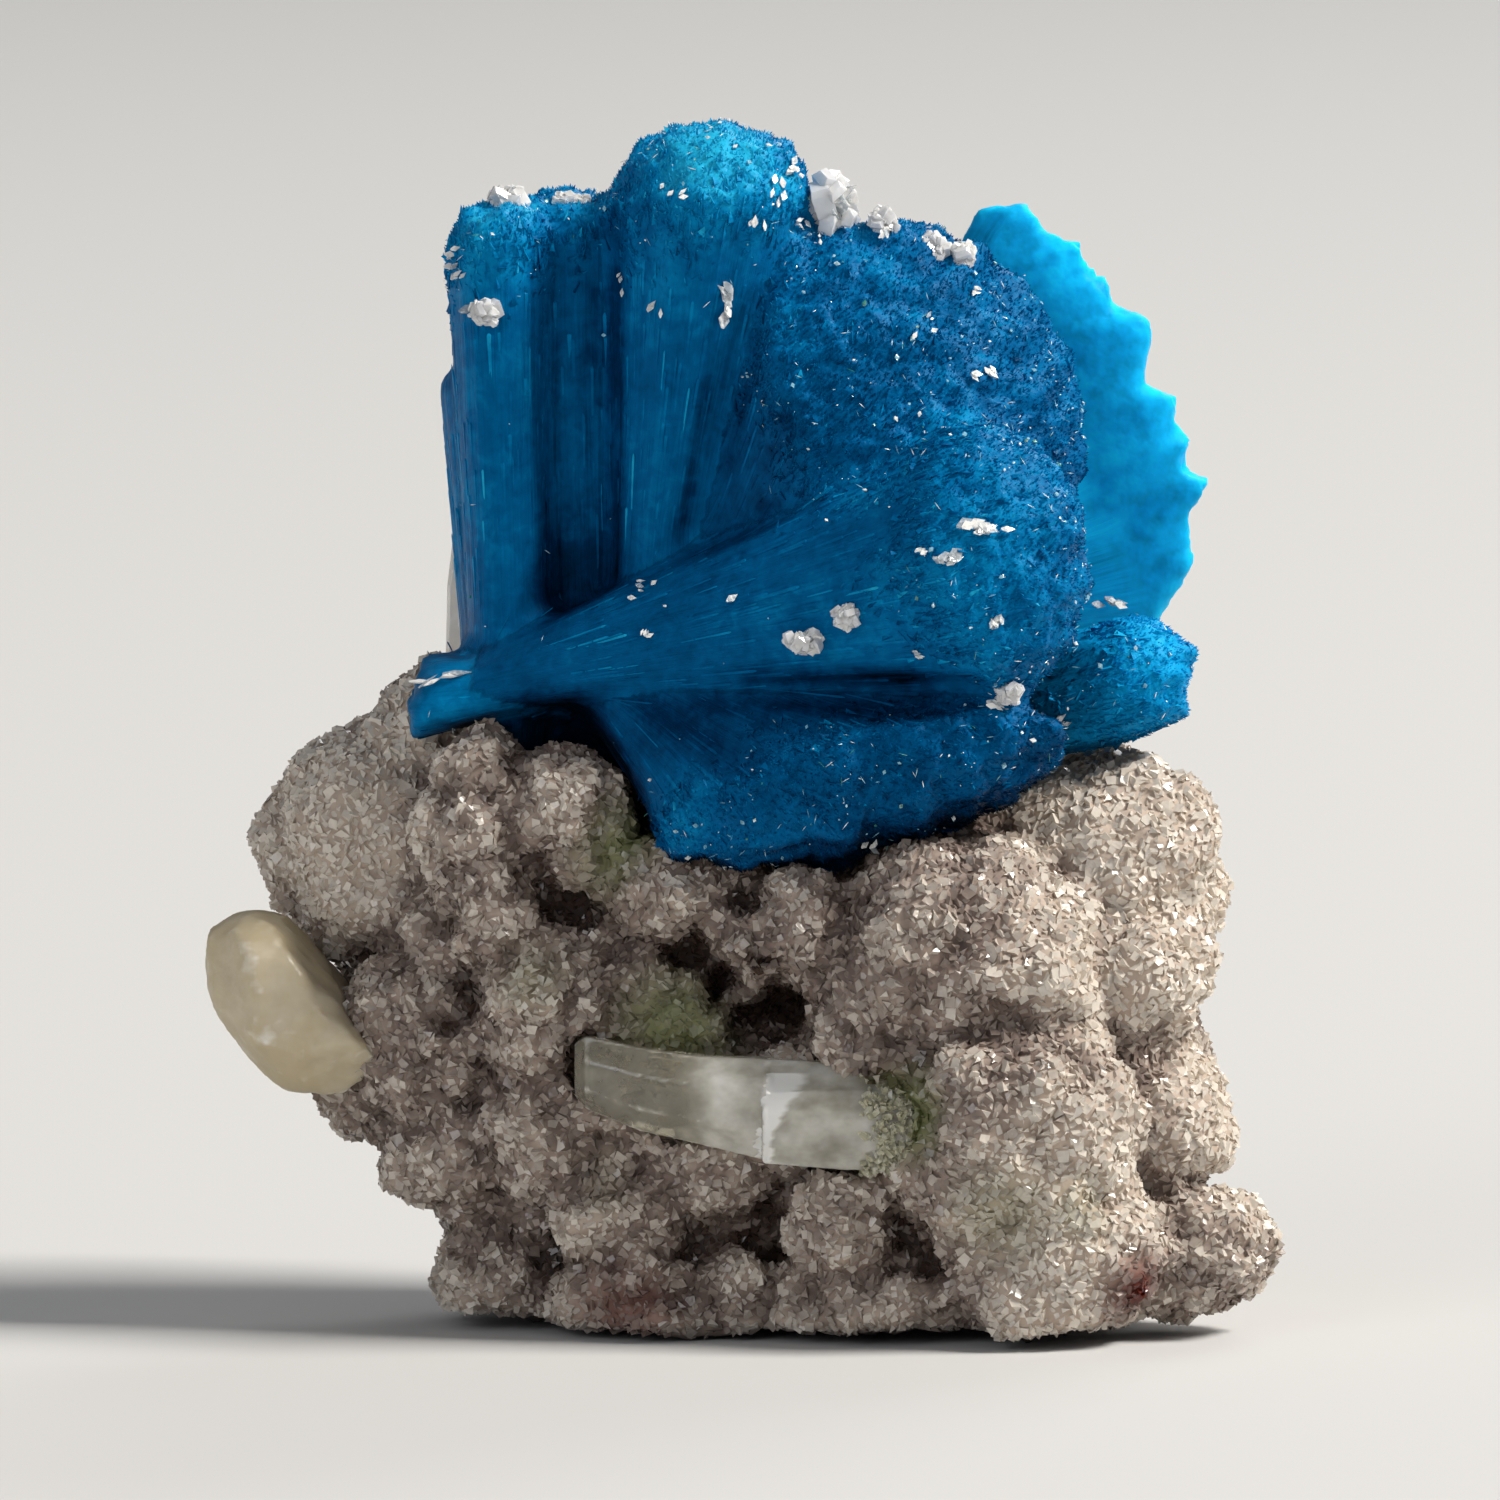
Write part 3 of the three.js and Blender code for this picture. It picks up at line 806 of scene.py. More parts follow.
@dataclass(frozen=True)
class ClearFinish:
    """A see-through or milky zeolite crystal: glassy, a little cloudy, with fine growth lines.

    Frosted parts are of the colour white and let only the share dimmed of the light through.
    """

    name: str
    colour: str
    transmission: float
    roughness: float
    cloud: float
    ior: float = 1.5
    absorb: str = "#ffffff"
    density: float = 0.0
    subsurface: float = 0.0
    stretch: Vec3 = (1.0, 1.0, 1.0)
    relief: float = 0.06
    haze: float = 0.5
    streaks: float = 1.4
    white: str = "#fbfaf6"
    dimmed: float = 0.12
    glow_depth: float = 1.2

    def material(self) -> Material:
        """Builds the material, which reads the mark frost: where the crystal is white inside.

        Returns:
            The material.
        """
        material, add = new_material(self.name)
        place = add("ShaderNodeTexCoord").outputs["Object"]
        cloud = add("ShaderNodeTexNoise", dict(zip(NOISE, (place, per_mm(self.cloud), 4.0, 0.65))))
        along = add("ShaderNodeVectorMath", (place, self.stretch), operation="MULTIPLY")
        lines = add("ShaderNodeTexNoise", dict(zip(NOISE, (along, per_mm(self.cloud * 0.3), 3.0))))
        mark = add("ShaderNodeAttribute", attribute_name="frost").outputs["Fac"]
        streak = add("ShaderNodeMath", (lines, self.streaks, -0.5 * self.streaks), operation="MULTIPLY_ADD")
        frosted = (add("ShaderNodeMath", (mark, streak), operation="ADD"), 0.2, 0.8, 0.0, 0.95)
        frost = add("ShaderNodeMapRange", frosted, interpolation_type="SMOOTHSTEP")
        milky = add("ShaderNodeMapRange", (cloud, 0.45, 0.72, 0.0, self.haze))
        white = add("ShaderNodeMath", (milky, frost), operation="MAXIMUM")
        tints = {0: white, 6: linear(self.colour), 7: linear(self.white)}
        clear = (white, 0.0, 1.0, self.transmission, self.transmission * self.dimmed)
        rough = (lines, 0.35, 0.7, self.roughness * 0.6, self.roughness * 1.5)
        bump = {"Height": lines, "Strength": 0.5, "Distance": self.relief * MM}
        surface = {
            "Base Color": add("ShaderNodeMix", tints, data_type="RGBA").outputs[2],
            "Roughness": add("ShaderNodeMapRange", rough),
            "IOR": self.ior,
            "Transmission Weight": add("ShaderNodeMapRange", clear) if self.transmission > 0 else 0.0,
            "Subsurface Weight": self.subsurface,
            "Subsurface Radius": (1.0, 0.85, 0.6),
            "Subsurface Scale": self.glow_depth * MM,
            "Normal": add("ShaderNodeBump", bump),
        }
        ends = {"Surface": add("ShaderNodeBsdfPrincipled", surface)}
        if self.density > 0:
            inside = {"Color": linear(self.absorb), "Density": self.density / MM}
            ends["Volume"] = add("ShaderNodeVolumeAbsorption", inside)
        add("ShaderNodeOutputMaterial", ends)
        return material


@dataclass(frozen=True)
class Stain:
    """A round patch of another colour."""

    at: Vec3
    radius: float
    strength: float = 0.75


def patches(*rows: tuple) -> tuple[Stain, ...]:
    """Gives the patches of rows with the fields of a Stain."""
    return tuple(Stain(*row) for row in rows)


def stained(corners: np.ndarray, stains: Sequence[Stain]) -> np.ndarray:
    """Gives how strongly each corner lies in any of some patches.

    Args:
        corners: The corners, one a row.
        stains: The patches. Each fades out from 0.4 to 1.4 times its radius.

    Returns:
        A strength for each corner, from 0.
    """
    mask = np.zeros(len(corners))
    for stain in stains:
        far = np.linalg.norm(corners - np.array(stain.at), axis=1) / stain.radius
        mask = np.maximum(mask, stain.strength * np.clip(1.4 - far, 0, 1))
    return mask


@dataclass
class MatrixRock:
    """The rock with its zeolite crust: knobs, lumps, drusy grains and broken faces."""

    voxel: float = 0.17
    knob_size: float = 1.9
    knob_height: float = 0.62
    lump_size: float = 0.72
    lump_height: float = 0.3
    grit_size: float = 0.5
    grit_height: float = 0.14
    spacing: float = 0.148
    shortest: float = 0.11
    longest: float = 0.27
    rise: float = 1.1
    # How the painted shade of the clefts is found, how dark it is and where it starts, and how strongly the
    # painted highlights lighten
    rays: int = 14
    reach: float = 2.2
    cleft_shade: float = 0.55
    cleft_from: float = 0.3
    white_light: float = 0.85
    # How much of the rough base is worn flat, and how far up the rock gives way for it
    tread: float = 0.03
    tread_fade: float = 2.5
    seed: int = 4
    # The broken back and base, as in the part's source: corners of the planes that cut it
    broken_planes: tuple[tuple[Vec3, ...], ...] = (
        ((13, 3.4, 0), (2.5, 4.6, 0), (3.6, 6.3, 8.5)),
        ((13, 3.4, 0), (3.6, 6.3, 8.5), (13, 4.8, 17)),
        ((3.6, 6.3, 8.5), (1.5, 6.6, 17), (13, 4.8, 17)),
        ((2.5, 4.6, 0), (-9.5, 3.4, 0), (3.6, 6.3, 8.5)),
        ((-9.5, 3.4, 0), (1.5, 6.6, 17), (3.6, 6.3, 8.5)),
        ((-9.5, 3.4, 0), (-11, 4.8, 17), (1.5, 6.6, 17)),
        ((-14, -11, 0), (-9.5, 3.4, 0), (13, 3.4, 0)),
        ((-14, -11, 0), (13, 3.4, 0), (14, -11, 0)),
    )
    green: tuple[Stain, ...] = patches(
        ((-1.5, -5.0, 7.7), 1.6), ((-5.2, -5.5, 9.4), 1.1, 0.4), ((4.2, -6.5, 5.8), 1.1),
        ((6.4, -7.5, 3.4), 1.2, 0.3), ((8.3, -7.3, 3.6), 0.8, 0.25), ((-3.6, -5.5, 4.4), 1.0, 0.5),
        ((-3.0, -3.5, 12.2), 1.2),
    )
    # Painted highlights: patches made lighter where the crust catches the light, on the right and on the
    # upper left
    white: tuple[Stain, ...] = patches(
        ((11.2, -2.5, 10.6), 3.4, 0.9), ((12.0, -2.6, 5.4), 2.6), ((8.6, -7.0, 3.6), 2.8),
        ((8.8, -5.4, 9.6), 2.4, 0.6), ((8.4, -3.0, 13.2), 2.4), ((-10.4, -1.5, 12.6), 2.8),
        ((-8.4, -1.2, 15.0), 1.6),
    )
    rust: tuple[Stain, ...] = patches(
        ((-10.3, -2.6, 9.2), 0.7), ((10.15, -6.9, 1.3), 1.2, 1.0), ((10.8, -5.8, 2.2), 0.3, 0.8),
        ((-3.0, -6.0, 0.6), 1.5),
    )

    def crust_tree(self) -> NodeTree:
        """Builds the tree that swells the rock into small knobs and stores broken and the depth of its
        nooks, for their painted shade.

        Returns:
            The geometry tree, with the inputs Knob size, Knob height, Lump size, Lump height,
            Grit size, Grit height and Planes.
        """
        sizes = {f"{part}_{what}": 1.0 for part in ("Knob", "Lump", "Grit") for what in ("size", "height")}
        tree, add, given = new_geometry_tree("zeolite knobs", **sizes, Planes="NodeSocketObject")
        place, normal = add("GeometryNodeInputPosition"), add("GeometryNodeInputNormal")
        planes = add("GeometryNodeObjectInfo", {"Object": given["Planes"]}).outputs["Geometry"]
        near = add("GeometryNodeProximity", {0: planes, "Source Position": place}).outputs["Distance"]
        broken = add("ShaderNodeMapRange", (near, 0.1, 0.75, 1.0, 0.0), interpolation_type="SMOOTHSTEP")
        marked = {"Geometry": given["Geometry"], "Name": "broken", "Value": broken}
        end = add("GeometryNodeStoreNamedAttribute", marked)
        knob, lump, grit = (
            add("ShaderNodeMath", (1.0, given[f"{part} size"]), operation="DIVIDE")
            for part in ("Knob", "Lump", "Grit")
        )
        noise = add("ShaderNodeTexNoise", dict(zip(NOISE, (place, grit, 2.0))))
        centred = add("ShaderNodeMath", (noise, 0.5), operation="SUBTRACT")
        relief = add("ShaderNodeMath", (centred, given["Grit height"]), operation="MULTIPLY")
        for scale, height in ((knob, given["Knob height"]), (lump, given["Lump height"])):
            domes = {"Vector": place, "Scale": scale, "Smoothness": 0.25}
            cells = add("ShaderNodeTexVoronoi", domes, feature="SMOOTH_F1")
            fall = add("ShaderNodeMath", (cells.outputs["Distance"], 1.4), operation="POWER")
            dome = add("ShaderNodeMath", (0.32, fall), operation="SUBTRACT")
            relief = add("ShaderNodeMath", (dome, height, relief), operation="MULTIPLY_ADD")
        # The crust is thin on the broken faces, which are chipped instead
        chips = {"Vector": place, "Scale": 0.45, "Detail": 3.0, "Roughness": 0.6}
        chip = add("ShaderNodeTexVoronoi", chips)
        chip = add("ShaderNodeMath", (chip, -0.7, 0.12), operation="MULTIPLY_ADD")
        chipped = add("ShaderNodeMath", (chip, broken), operation="MULTIPLY")
        whole = add("ShaderNodeMath", (broken, -0.85, 1.0), operation="MULTIPLY_ADD")
        lift = add("ShaderNodeMath", (relief, whole, chipped), operation="MULTIPLY_ADD")
        offset = add("ShaderNodeVectorMath", {0: normal, "Scale": lift}, operation="SCALE")
        end = add("GeometryNodeSetPosition", {"Geometry": end, "Offset": offset})
        # Painted shade: the deeper a place lies under its softened surroundings, near and far, the darker it
        # is painted
        nook: Node | float = 0.0
        for blurs, weight in ((10, 1.25), (60, 0.5)):
            around = {"Value": place, "Iterations": blurs}
            calm = add("GeometryNodeBlurAttribute", around, data_type="FLOAT_VECTOR")
            away = add("ShaderNodeVectorMath", (calm, place), operation="SUBTRACT")
            hollow = add("ShaderNodeVectorMath", (away, normal), operation="DOT_PRODUCT").outputs["Value"]
            nook = add("ShaderNodeMath", (hollow, weight, nook), operation="MULTIPLY_ADD")
        marked = {"Geometry": end, "Name": "nook", "Value": nook}
        add("NodeGroupOutput", (add("GeometryNodeStoreNamedAttribute", marked),))
        return tree

    def druse_tree(self) -> NodeTree:
        """Builds the tree that grows small crystals all over the crust, but not where it's broken.

        Returns:
            The geometry tree, with the inputs Crystal, Coat, Spacing, Shortest, Longest, Rise
            and Seed.
        """
        tree, add, given = new_geometry_tree(
            "druse",
            Crystal="NodeSocketObject",
            Coat="NodeSocketMaterial",
            Spacing=0.3,
            Shortest=0.3,
            Longest=0.6,
            Rise=0.8,
            Seed=0,
        )
        cube = {0: (-1.0,) * 3, 1: (1.0,) * 3}
        anyhow, facing = (
            add("FunctionNodeRandomValue", {**cube, "Seed": seed}, data_type="FLOAT_VECTOR")
            for seed in (11, 23)
        )
        rise, length, width, tone = (
            add("FunctionNodeRandomValue", {2: low, 3: high, "Seed": seed}, data_type="FLOAT").outputs[1]
            for low, high, seed in (
                (0.1, given["Rise"], 17),
                (given["Shortest"], given["Longest"], 31),
                (0.8, 1.3, 37),
                (-1.0, 1.0, 41),
            )
        )
        broken = add("GeometryNodeInputNamedAttribute", ("broken",))
        whole = add("FunctionNodeCompare", (broken, 0.55), operation="LESS_THAN")
        limits = {"Distance Min": given["Spacing"], "Density Max": 120.0, "Seed": given["Seed"]}
        scatter = {"Mesh": given["Geometry"], "Selection": whole, **limits}
        spots = add("GeometryNodeDistributePointsOnFaces", scatter, distribute_method="POISSON")
        normal = spots.outputs["Normal"]
        lying = add("ShaderNodeVectorMath", (normal, anyhow), operation="CROSS_PRODUCT")
        lying = add("ShaderNodeVectorMath", (lying,), operation="NORMALIZE")
        rising = add("ShaderNodeVectorMath", {0: normal, "Scale": rise}, operation="SCALE")
        way = add("ShaderNodeVectorMath", (lying, rising), operation="ADD")
        way = add("ShaderNodeVectorMath", (way,), operation="NORMALIZE")
        wide = add("ShaderNodeMath", (length, width), operation="MULTIPLY")
        thick = add("ShaderNodeMath", (wide, 0.65), operation="MULTIPLY")
        girth = add("ShaderNodeCombineXYZ", (wide, thick, length))
        depth = add("ShaderNodeMath", (length, -0.45), operation="MULTIPLY")
        sink = add("ShaderNodeVectorMath", {0: way, "Scale": depth}, operation="SCALE")
        sunk = add("GeometryNodeSetPosition", {"Geometry": spots.outputs["Points"], "Offset": sink})
        marked = {"Geometry": sunk, "Name": "tone", "Value": tone}
        toned = add("GeometryNodeStoreNamedAttribute", marked)
        add("NodeGroupOutput", (crystals_on(add, given, toned, way, facing, girth),))
        return tree

    def stand(self, rock: Object) -> None:
        """Wears the rough base flat, so that the rock stands on the ground.

        Args:
            rock: The rock.
        """
        corners = corners_of(rock)
        height = corners[:, 2]
        sink = (height.min() + self.tread) * np.clip(1.2 - height / self.tread_fade, 0, 1)
        corners[:, 2] = np.maximum(height - sink, 0.0)
        move_corners(rock, corners)

    def build(self, node: Object, around: Object) -> list[Object]:
        """Builds and dresses the rock and its druse.

        Args:
            node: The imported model's rock.
            around: What shades the rock, in millimetres.

        Returns:
            The finished pieces.
        """
        rock = shape_by(merged_copy(node, "matrix_crust"), voxels(self.voxel), softening(6))
        corners = [corner for plane in self.broken_planes for corner in plane]
        planes = mesh_object("planes", corners, np.arange(len(corners)).reshape(-1, 3).tolist())
        run_tree(
            rock,
            self.crust_tree(),
            Knob_size=self.knob_size,
            Knob_height=self.knob_height,
            Lump_size=self.lump_size,
            Lump_height=self.lump_height,
            Grit_size=self.grit_size,
            Grit_height=self.grit_height,
            Planes=planes,
        )
        drop(planes)
        self.stand(rock)
        patches = {"green": self.green, "rust": self.rust, "white": self.white}
        store(rock, **{name: stained(corners_of(rock), stains) for name, stains in patches.items()})
        # Painted shade in the clefts and nooks, less where the painted highlights lie
        run_tree(rock, cleft_tree(self.rays), Around=around, Reach=self.reach)
        cleft = np.clip(read_marks(rock, "cleft") - self.cleft_from, 0, 1)
        shade = read_marks(rock, "nook") + self.cleft_shade * cleft
        # The painted highlights lessen the painted shade
        shade = shade - self.white_light * read_marks(rock, "white")
        rock.data.attributes.remove(rock.data.attributes["nook"])
        store(rock, nook=shade)
        druse = copy_of(rock, "matrix_druse")
        bpy.context.scene.collection.objects.link(druse)
        grain = GRAIN.build()
        run_tree(
            druse,
            self.druse_tree(),
            Crystal=grain,
            Coat=CrustFinish("drusy_zeolite", "#f8efe2", "#b2a297", "#57453c", 0.2, 0.3).material(),
            Spacing=self.spacing,
            Shortest=self.shortest,
            Longest=self.longest,
            Rise=self.rise,
            Seed=self.seed,
        )
        drop(grain)
        rock.data.shade_smooth()
        move_corners(druse, np.maximum(corners_of(druse), (-np.inf, -np.inf, 0.0)))
        ground = CrustFinish("zeolite_crusted_rock", "#b9a899", "#7c6a61", "#30241e", 0.7).material()
        return [
            finish_piece(rock, ["matrix_rock"], ground),
            finish_piece(druse),
        ]


@dataclass(frozen=True)
class Sheaf:
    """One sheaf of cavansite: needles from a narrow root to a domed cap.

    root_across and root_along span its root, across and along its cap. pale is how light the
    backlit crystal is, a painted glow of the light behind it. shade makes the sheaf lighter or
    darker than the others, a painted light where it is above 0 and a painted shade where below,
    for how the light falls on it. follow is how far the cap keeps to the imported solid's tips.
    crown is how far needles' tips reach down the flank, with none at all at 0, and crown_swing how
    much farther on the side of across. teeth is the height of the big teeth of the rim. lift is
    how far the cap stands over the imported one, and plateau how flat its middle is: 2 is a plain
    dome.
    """

    root: Vec3
    root_across: Vec3
    root_along: Vec3
    cap: Vec3
    across: Vec3
    along: Vec3
    dome: float
    pale: float = 0.0
    follow: float = 0.5
    shade: float = 0.0
    crown: float = 1.6
    crown_swing: float = 0.0
    rounding: float = 0.4
    teeth: float = 0.0
    lift: float = 0.3
    plateau: float = 2.0

    def start(self, disc: np.ndarray) -> np.ndarray:
        """Gives the point of the root for each row of disc coordinates."""
        return np.array(self.root) + disc @ np.array([self.root_across, self.root_along])

    def end(self, disc: np.ndarray) -> np.ndarray:
        """Gives the points of the cap.

        Args:
            disc: Disc coordinates, one point a row.

        Returns:
            The points.
        """
        across, along = np.array(self.across), np.array(self.along)
        out = unit(np.cross(across, along))
        if out @ (np.array(self.cap) - np.array(self.root)) < 0:
            out = -out
        bulge = self.dome * (1 - (disc**2).sum(1) ** (self.plateau / 2)) + self.lift
        return np.array(self.cap) + disc @ np.array([across, along]) + bulge[:, None] * out

    def half_axes(self) -> tuple[float, float]:
        """Gives the cap's half-widths across and along."""
        return float(np.linalg.norm(self.across)), float(np.linalg.norm(self.along))


SHEAVES: dict[str, Sheaf] = {
    "left_rib": Sheaf(
        (-5.6, -0.9, 13.6), (1.05, 0, 0), (0, 1.3, 0), (-6.0, -0.9, 27.1), (1.32, 0.1, 0.25),
        (0, 1.7, 0), 0.6, shade=0.04, crown=1.6,
    ),
    "inner_rib": Sheaf(
        (-3.9, 0.2, 13.8), (0.85, 0, 0), (0, 1.2, 0), (-4.3, 0.3, 27.5), (1.15, 0, 0.05),
        (0, 1.7, 0.1), 0.4, shade=-0.03,
    ),
    "outer_rib": Sheaf(
        (-6.3, 0.2, 14.0), (0.45, 0, 0), (0, 1.0, 0), (-6.85, 0.1, 23.6), (0.62, 0, 0.3),
        (0, 1.5, 0), 0.1, shade=0.05, crown=0.0, rounding=0.1, lift=0.1,
    ),
    "tall_middle": Sheaf(
        (-2.5, -1.0, 15.0), (0.75, 0, 0), (0, 1.2, 0), (-0.7, -0.7, 27.6), (2.75, 0, -0.1),
        (0, 2.7, -0.3), 1.9, shade=0.02, crown=2.0, lift=0.45, plateau=3.6,
    ),
    "upper_right": Sheaf(
        (-1.3, -0.4, 15.6), (0.9, 0, -0.9), (-0.4, -1.3, -0.4), (4.6, -1.5, 23.4), (3.4, 0.3, -3.6),
        (-2.4, -2.6, -2.6), 1.3, follow=0.35, shade=-0.11, crown=2.6, teeth=0.4,
    ),
    "front": Sheaf(
        (-6.4, -1.8, 16.2), (0.1, 0.1, 0.75), (0.2, 1.0, 0), (6.1, -4.2, 19.4), (-0.8, 0.7, 3.5),
        (1.3, 2.7, 0.2), 2.1, follow=0.35, shade=-0.03, crown=3.0, crown_swing=2.4, teeth=0.25,
    ),
    "lower_front": Sheaf(
        (-2.6, -2.0, 15.9), (1.5, 0.2, 0.15), (-0.1, 1.0, -0.7), (3.2, -4.6, 13.95),
        (5.3, 0.5, 1.3), (-0.2, 1.9, -1.6), 1.2, shade=-0.14, crown=2.6, teeth=0.5,
    ),
    "left_wing": Sheaf(
        (-3.2, -1.7, 16.2), (0.1, 0, 0.5), (0, 1.0, 0), (-7.8, -1.5, 15.7), (0.35, 0.1, 1.1),
        (0.1, 1.5, 0.1), 0.15, pale=0.12, shade=0.03, crown=0.0, rounding=0.12, teeth=0.25,
        lift=0.1,
    ),
    "right_lobe": Sheaf(
        (2.0, -1.2, 14.4), (0.1, 0.1, 1.5), (0.1, 0.9, 0), (9.7, -1.4, 16.2), (0.12, 0.1, 1.62),
        (0.2, 1.6, 0.1), 1.5, pale=0.2, shade=0.13, crown=3.0, lift=0.0, rounding=0.3, teeth=0.35,
        plateau=2.6,
    ),
    "pale_fan": Sheaf(
        (-0.6, 1.6, 16.0), (0.6, 0, -0.9), (0, 0.7, 0.1), (7.9, 3.0, 22.2), (2.3, 0.2, -5.35),
        (0.2, 0.95, 0.1), 2.4, pale=0.95, follow=0.0, shade=0.06, crown=0.5, rounding=0.1,
        teeth=0.85, lift=0.2, plateau=3.0,
    ),
    "back_upper_left": Sheaf(
        (-2.6, 1.0, 15.4), (0.9, 0, 0), (0, 0.7, 0.6), (-3.4, 4.6, 22.6), (2.5, 0.3, 0.2),
        (-0.1, -1.6, 2.4), 0.9, crown=2.4, teeth=0.4, plateau=3.0,
    ),
    "back_upper_right": Sheaf(
        (-1.4, 1.3, 15.4), (1.0, 0, 0.1), (0, 0.8, 0.7), (1.4, 5.0, 24.0), (2.6, -0.2, -0.9),
        (-0.2, -1.5, 2.3), 0.9, pale=0.15, crown=2.4, teeth=0.5, plateau=3.0,
    ),
    "back_lower": Sheaf(
        (0.0, 1.6, 15.2), (0.8, 0, 0), (0, 0.2, 0.8), (3.4, 5.6, 18.2), (2.6, -0.9, 0.2),
        (-0.1, -0.6, 2.0), 0.8, crown=2.2, teeth=0.4, plateau=3.0,
    ),
}


@dataclass
class CrystalBed:
    """Where crystals grow: their marks, kept until they are built together.

    Each crystal has way, flat and girth, as in crystal_tree, and what its material reads.
    """

    foot: list[np.ndarray] = field(default_factory=list)
    marks: dict[str, list[np.ndarray]] = field(default_factory=dict)

    def plant(self, foot: np.ndarray, size: Sequence[np.ndarray], **marks: np.ndarray | float) -> None:
        """Adds crystals.

        Args:
            foot: Where each stands.
            size: Their widths, thicknesses and lengths.
            marks: The values of each mark.
        """
        self.foot.append(foot)
        marks["girth"] = np.stack(size, 1)
        for name, values in marks.items():
            shape = (len(foot), *np.shape(values)[1:])
            self.marks.setdefault(name, []).append(np.broadcast_to(values, shape))

    def build(self, name: str, form: CrystalForm, tree: NodeTree, coat: Material) -> Object:
        """Grows the crystals as one mesh.

        Args:
            name: The piece's name.
            form: The crystals' form.
            tree: The tree that puts a crystal on each corner.
            coat: Their material.

        Returns:
            The piece, in millimetres.
        """
        piece = mesh_object(name, np.concatenate(self.foot))
        store(piece, **{label: np.concatenate(rows) for label, rows in self.marks.items()})
        pattern = form.build()
        run_tree(piece, tree, Crystal=pattern, Coat=coat)
        drop(pattern)
        return piece


class GrowingSheaf:
    """A sheaf as it grows: its flutes, its path from root to cap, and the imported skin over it."""

    # How often each wave of the flutes goes round the rim, and its share of their depth
    waves = ((3, 0.45), (7, 0.3), (13, 0.2), (24, 0.12))
    waist = 0.06
    shoulder_from = 0.72

    def __init__(self, sheaf: Sheaf, skin: BVHTree, flute: float, rng: np.random.Generator) -> None:
        """Draws the sheaf's own flutes.

        Args:
            sheaf: Its sizes.
            skin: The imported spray's surface.
            flute: The depth of a flute, as a share of the sheaf's half-width.
            rng: The source of chance.
        """
        self.sheaf = sheaf
        self.skin = skin
        self.depth = flute
        self.phases = rng.uniform(0, 2 * math.pi, 4)
        self.angles = np.linspace(0, 2 * math.pi, 721)
        wide, deep = sheaf.half_axes()
        ring = np.stack([wide * np.cos(self.angles), deep * np.sin(self.angles)], 1)
        self.arc = np.concatenate([[0], np.cumsum(np.linalg.norm(np.diff(ring, axis=0), axis=1))])
        self.length = float(np.linalg.norm(np.array(sheaf.cap) - np.array(sheaf.root)))

    def angle_at(self, arc: np.ndarray) -> np.ndarray:
        """Gives the angle at a distance in millimetres along the cap's rim."""
        return np.interp(arc % self.arc[-1], self.arc, self.angles)

    def groove(self, angle: np.ndarray) -> np.ndarray:
        """Gives how deep the flutes are round the rim.

        Args:
            angle: The angles.

        Returns:
            A depth for each, from 0 on a rib to about 1 in a groove.
        """
        total = np.zeros_like(angle)
        for (turns, share), phase in zip(self.waves, self.phases):
            total += share * (1 - np.abs(np.sin((turns * angle + phase) / 2))) ** 2.2
        return total

    def rim(self, angle: np.ndarray) -> np.ndarray:
        """Gives the disc coordinates of the fluted rim at an angle."""
        radius = 1 - self.depth * self.groove(angle)
        return np.stack([np.cos(angle), np.sin(angle)], 1) * radius[:, None]

    def tooth(self, disc: np.ndarray, width: float = 1.4) -> np.ndarray:
        """Gives how far the big teeth of the rim stand out.

        Args:
            disc: Disc coordinates, one point a row.
            width: About how wide a tooth is.

        Returns:
            A height for each point, from 0 to 1.
        """
        u = disc[:, 0] * self.sheaf.half_axes()[0] / width + self.phases[0]
        u = u + 0.25 * np.sin(1.7 * u + self.phases[1])
        height = 0.75 + 0.25 * np.sin(2.3 * np.floor(u) + self.phases[2])
        ramp = 1 - np.abs(2 * (u - np.floor(u)) - 1.1).clip(0, 1)
        return height * ramp * ramp * (3 - 2 * ramp)

    def place(self, disc: np.ndarray, share: np.ndarray | float) -> np.ndarray:
        """Gives the points on the way from the root to the cap.

        Args:
            disc: Disc coordinates, one point a row.
            share: How far along, from 0 at the root to 1 at the cap.

        Returns:
            The points. The sheaf is a little waisted in its middle.
        """
        share = np.broadcast_to(share, len(disc))[:, None]
        slim = disc * (1 - self.waist * np.sin(np.pi * np.clip(share, 0, 1)))
        foot, tip = self.sheaf.start(slim), self.sheaf.end(slim)
        return foot + (tip - foot) * share

    def way(self, disc: np.ndarray) -> np.ndarray:
        """Gives the direction in which needles grow at disc coordinates."""
        return unit(self.sheaf.end(disc) - self.sheaf.start(disc))

    def skin_height(self, disc: np.ndarray, reach: float = 3.0) -> np.ndarray:
        """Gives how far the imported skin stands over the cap.

        Args:
            disc: Disc coordinates, one point a row.
            reach: How far over and under the cap it is looked for.

        Returns:
            A height for each point, or nan where there is none near.
        """
        tips, ways = self.sheaf.end(disc), self.way(disc)
        height = np.full(len(disc), np.nan)
        for i, (top, line) in enumerate(zip(tips + ways * reach, ways)):
            hit = self.skin.ray_cast(Vector(top), Vector(-line), 2 * reach)
            if hit[0] is not None:
                height[i] = reach - hit[3] + self.sheaf.lift
        return height

    def shoulder(self, disc: np.ndarray) -> np.ndarray:
        """Gives how far the cap's edge is rounded down at disc coordinates."""
        radius = np.linalg.norm(disc, axis=1)
        past = np.clip(radius - self.shoulder_from, 0, 1) / (1 - self.shoulder_from)
        return self.sheaf.rounding * past**2


# What each place of a sheaf knows, in one number or in a vector
SHEAF_MARKS = {mark: "FLOAT" for mark in ("cap", "edge", "share", "shade", "pale")}
SHEAF_MARKS |= {mark: "FLOAT_VECTOR" for mark in ("grain", "way")}


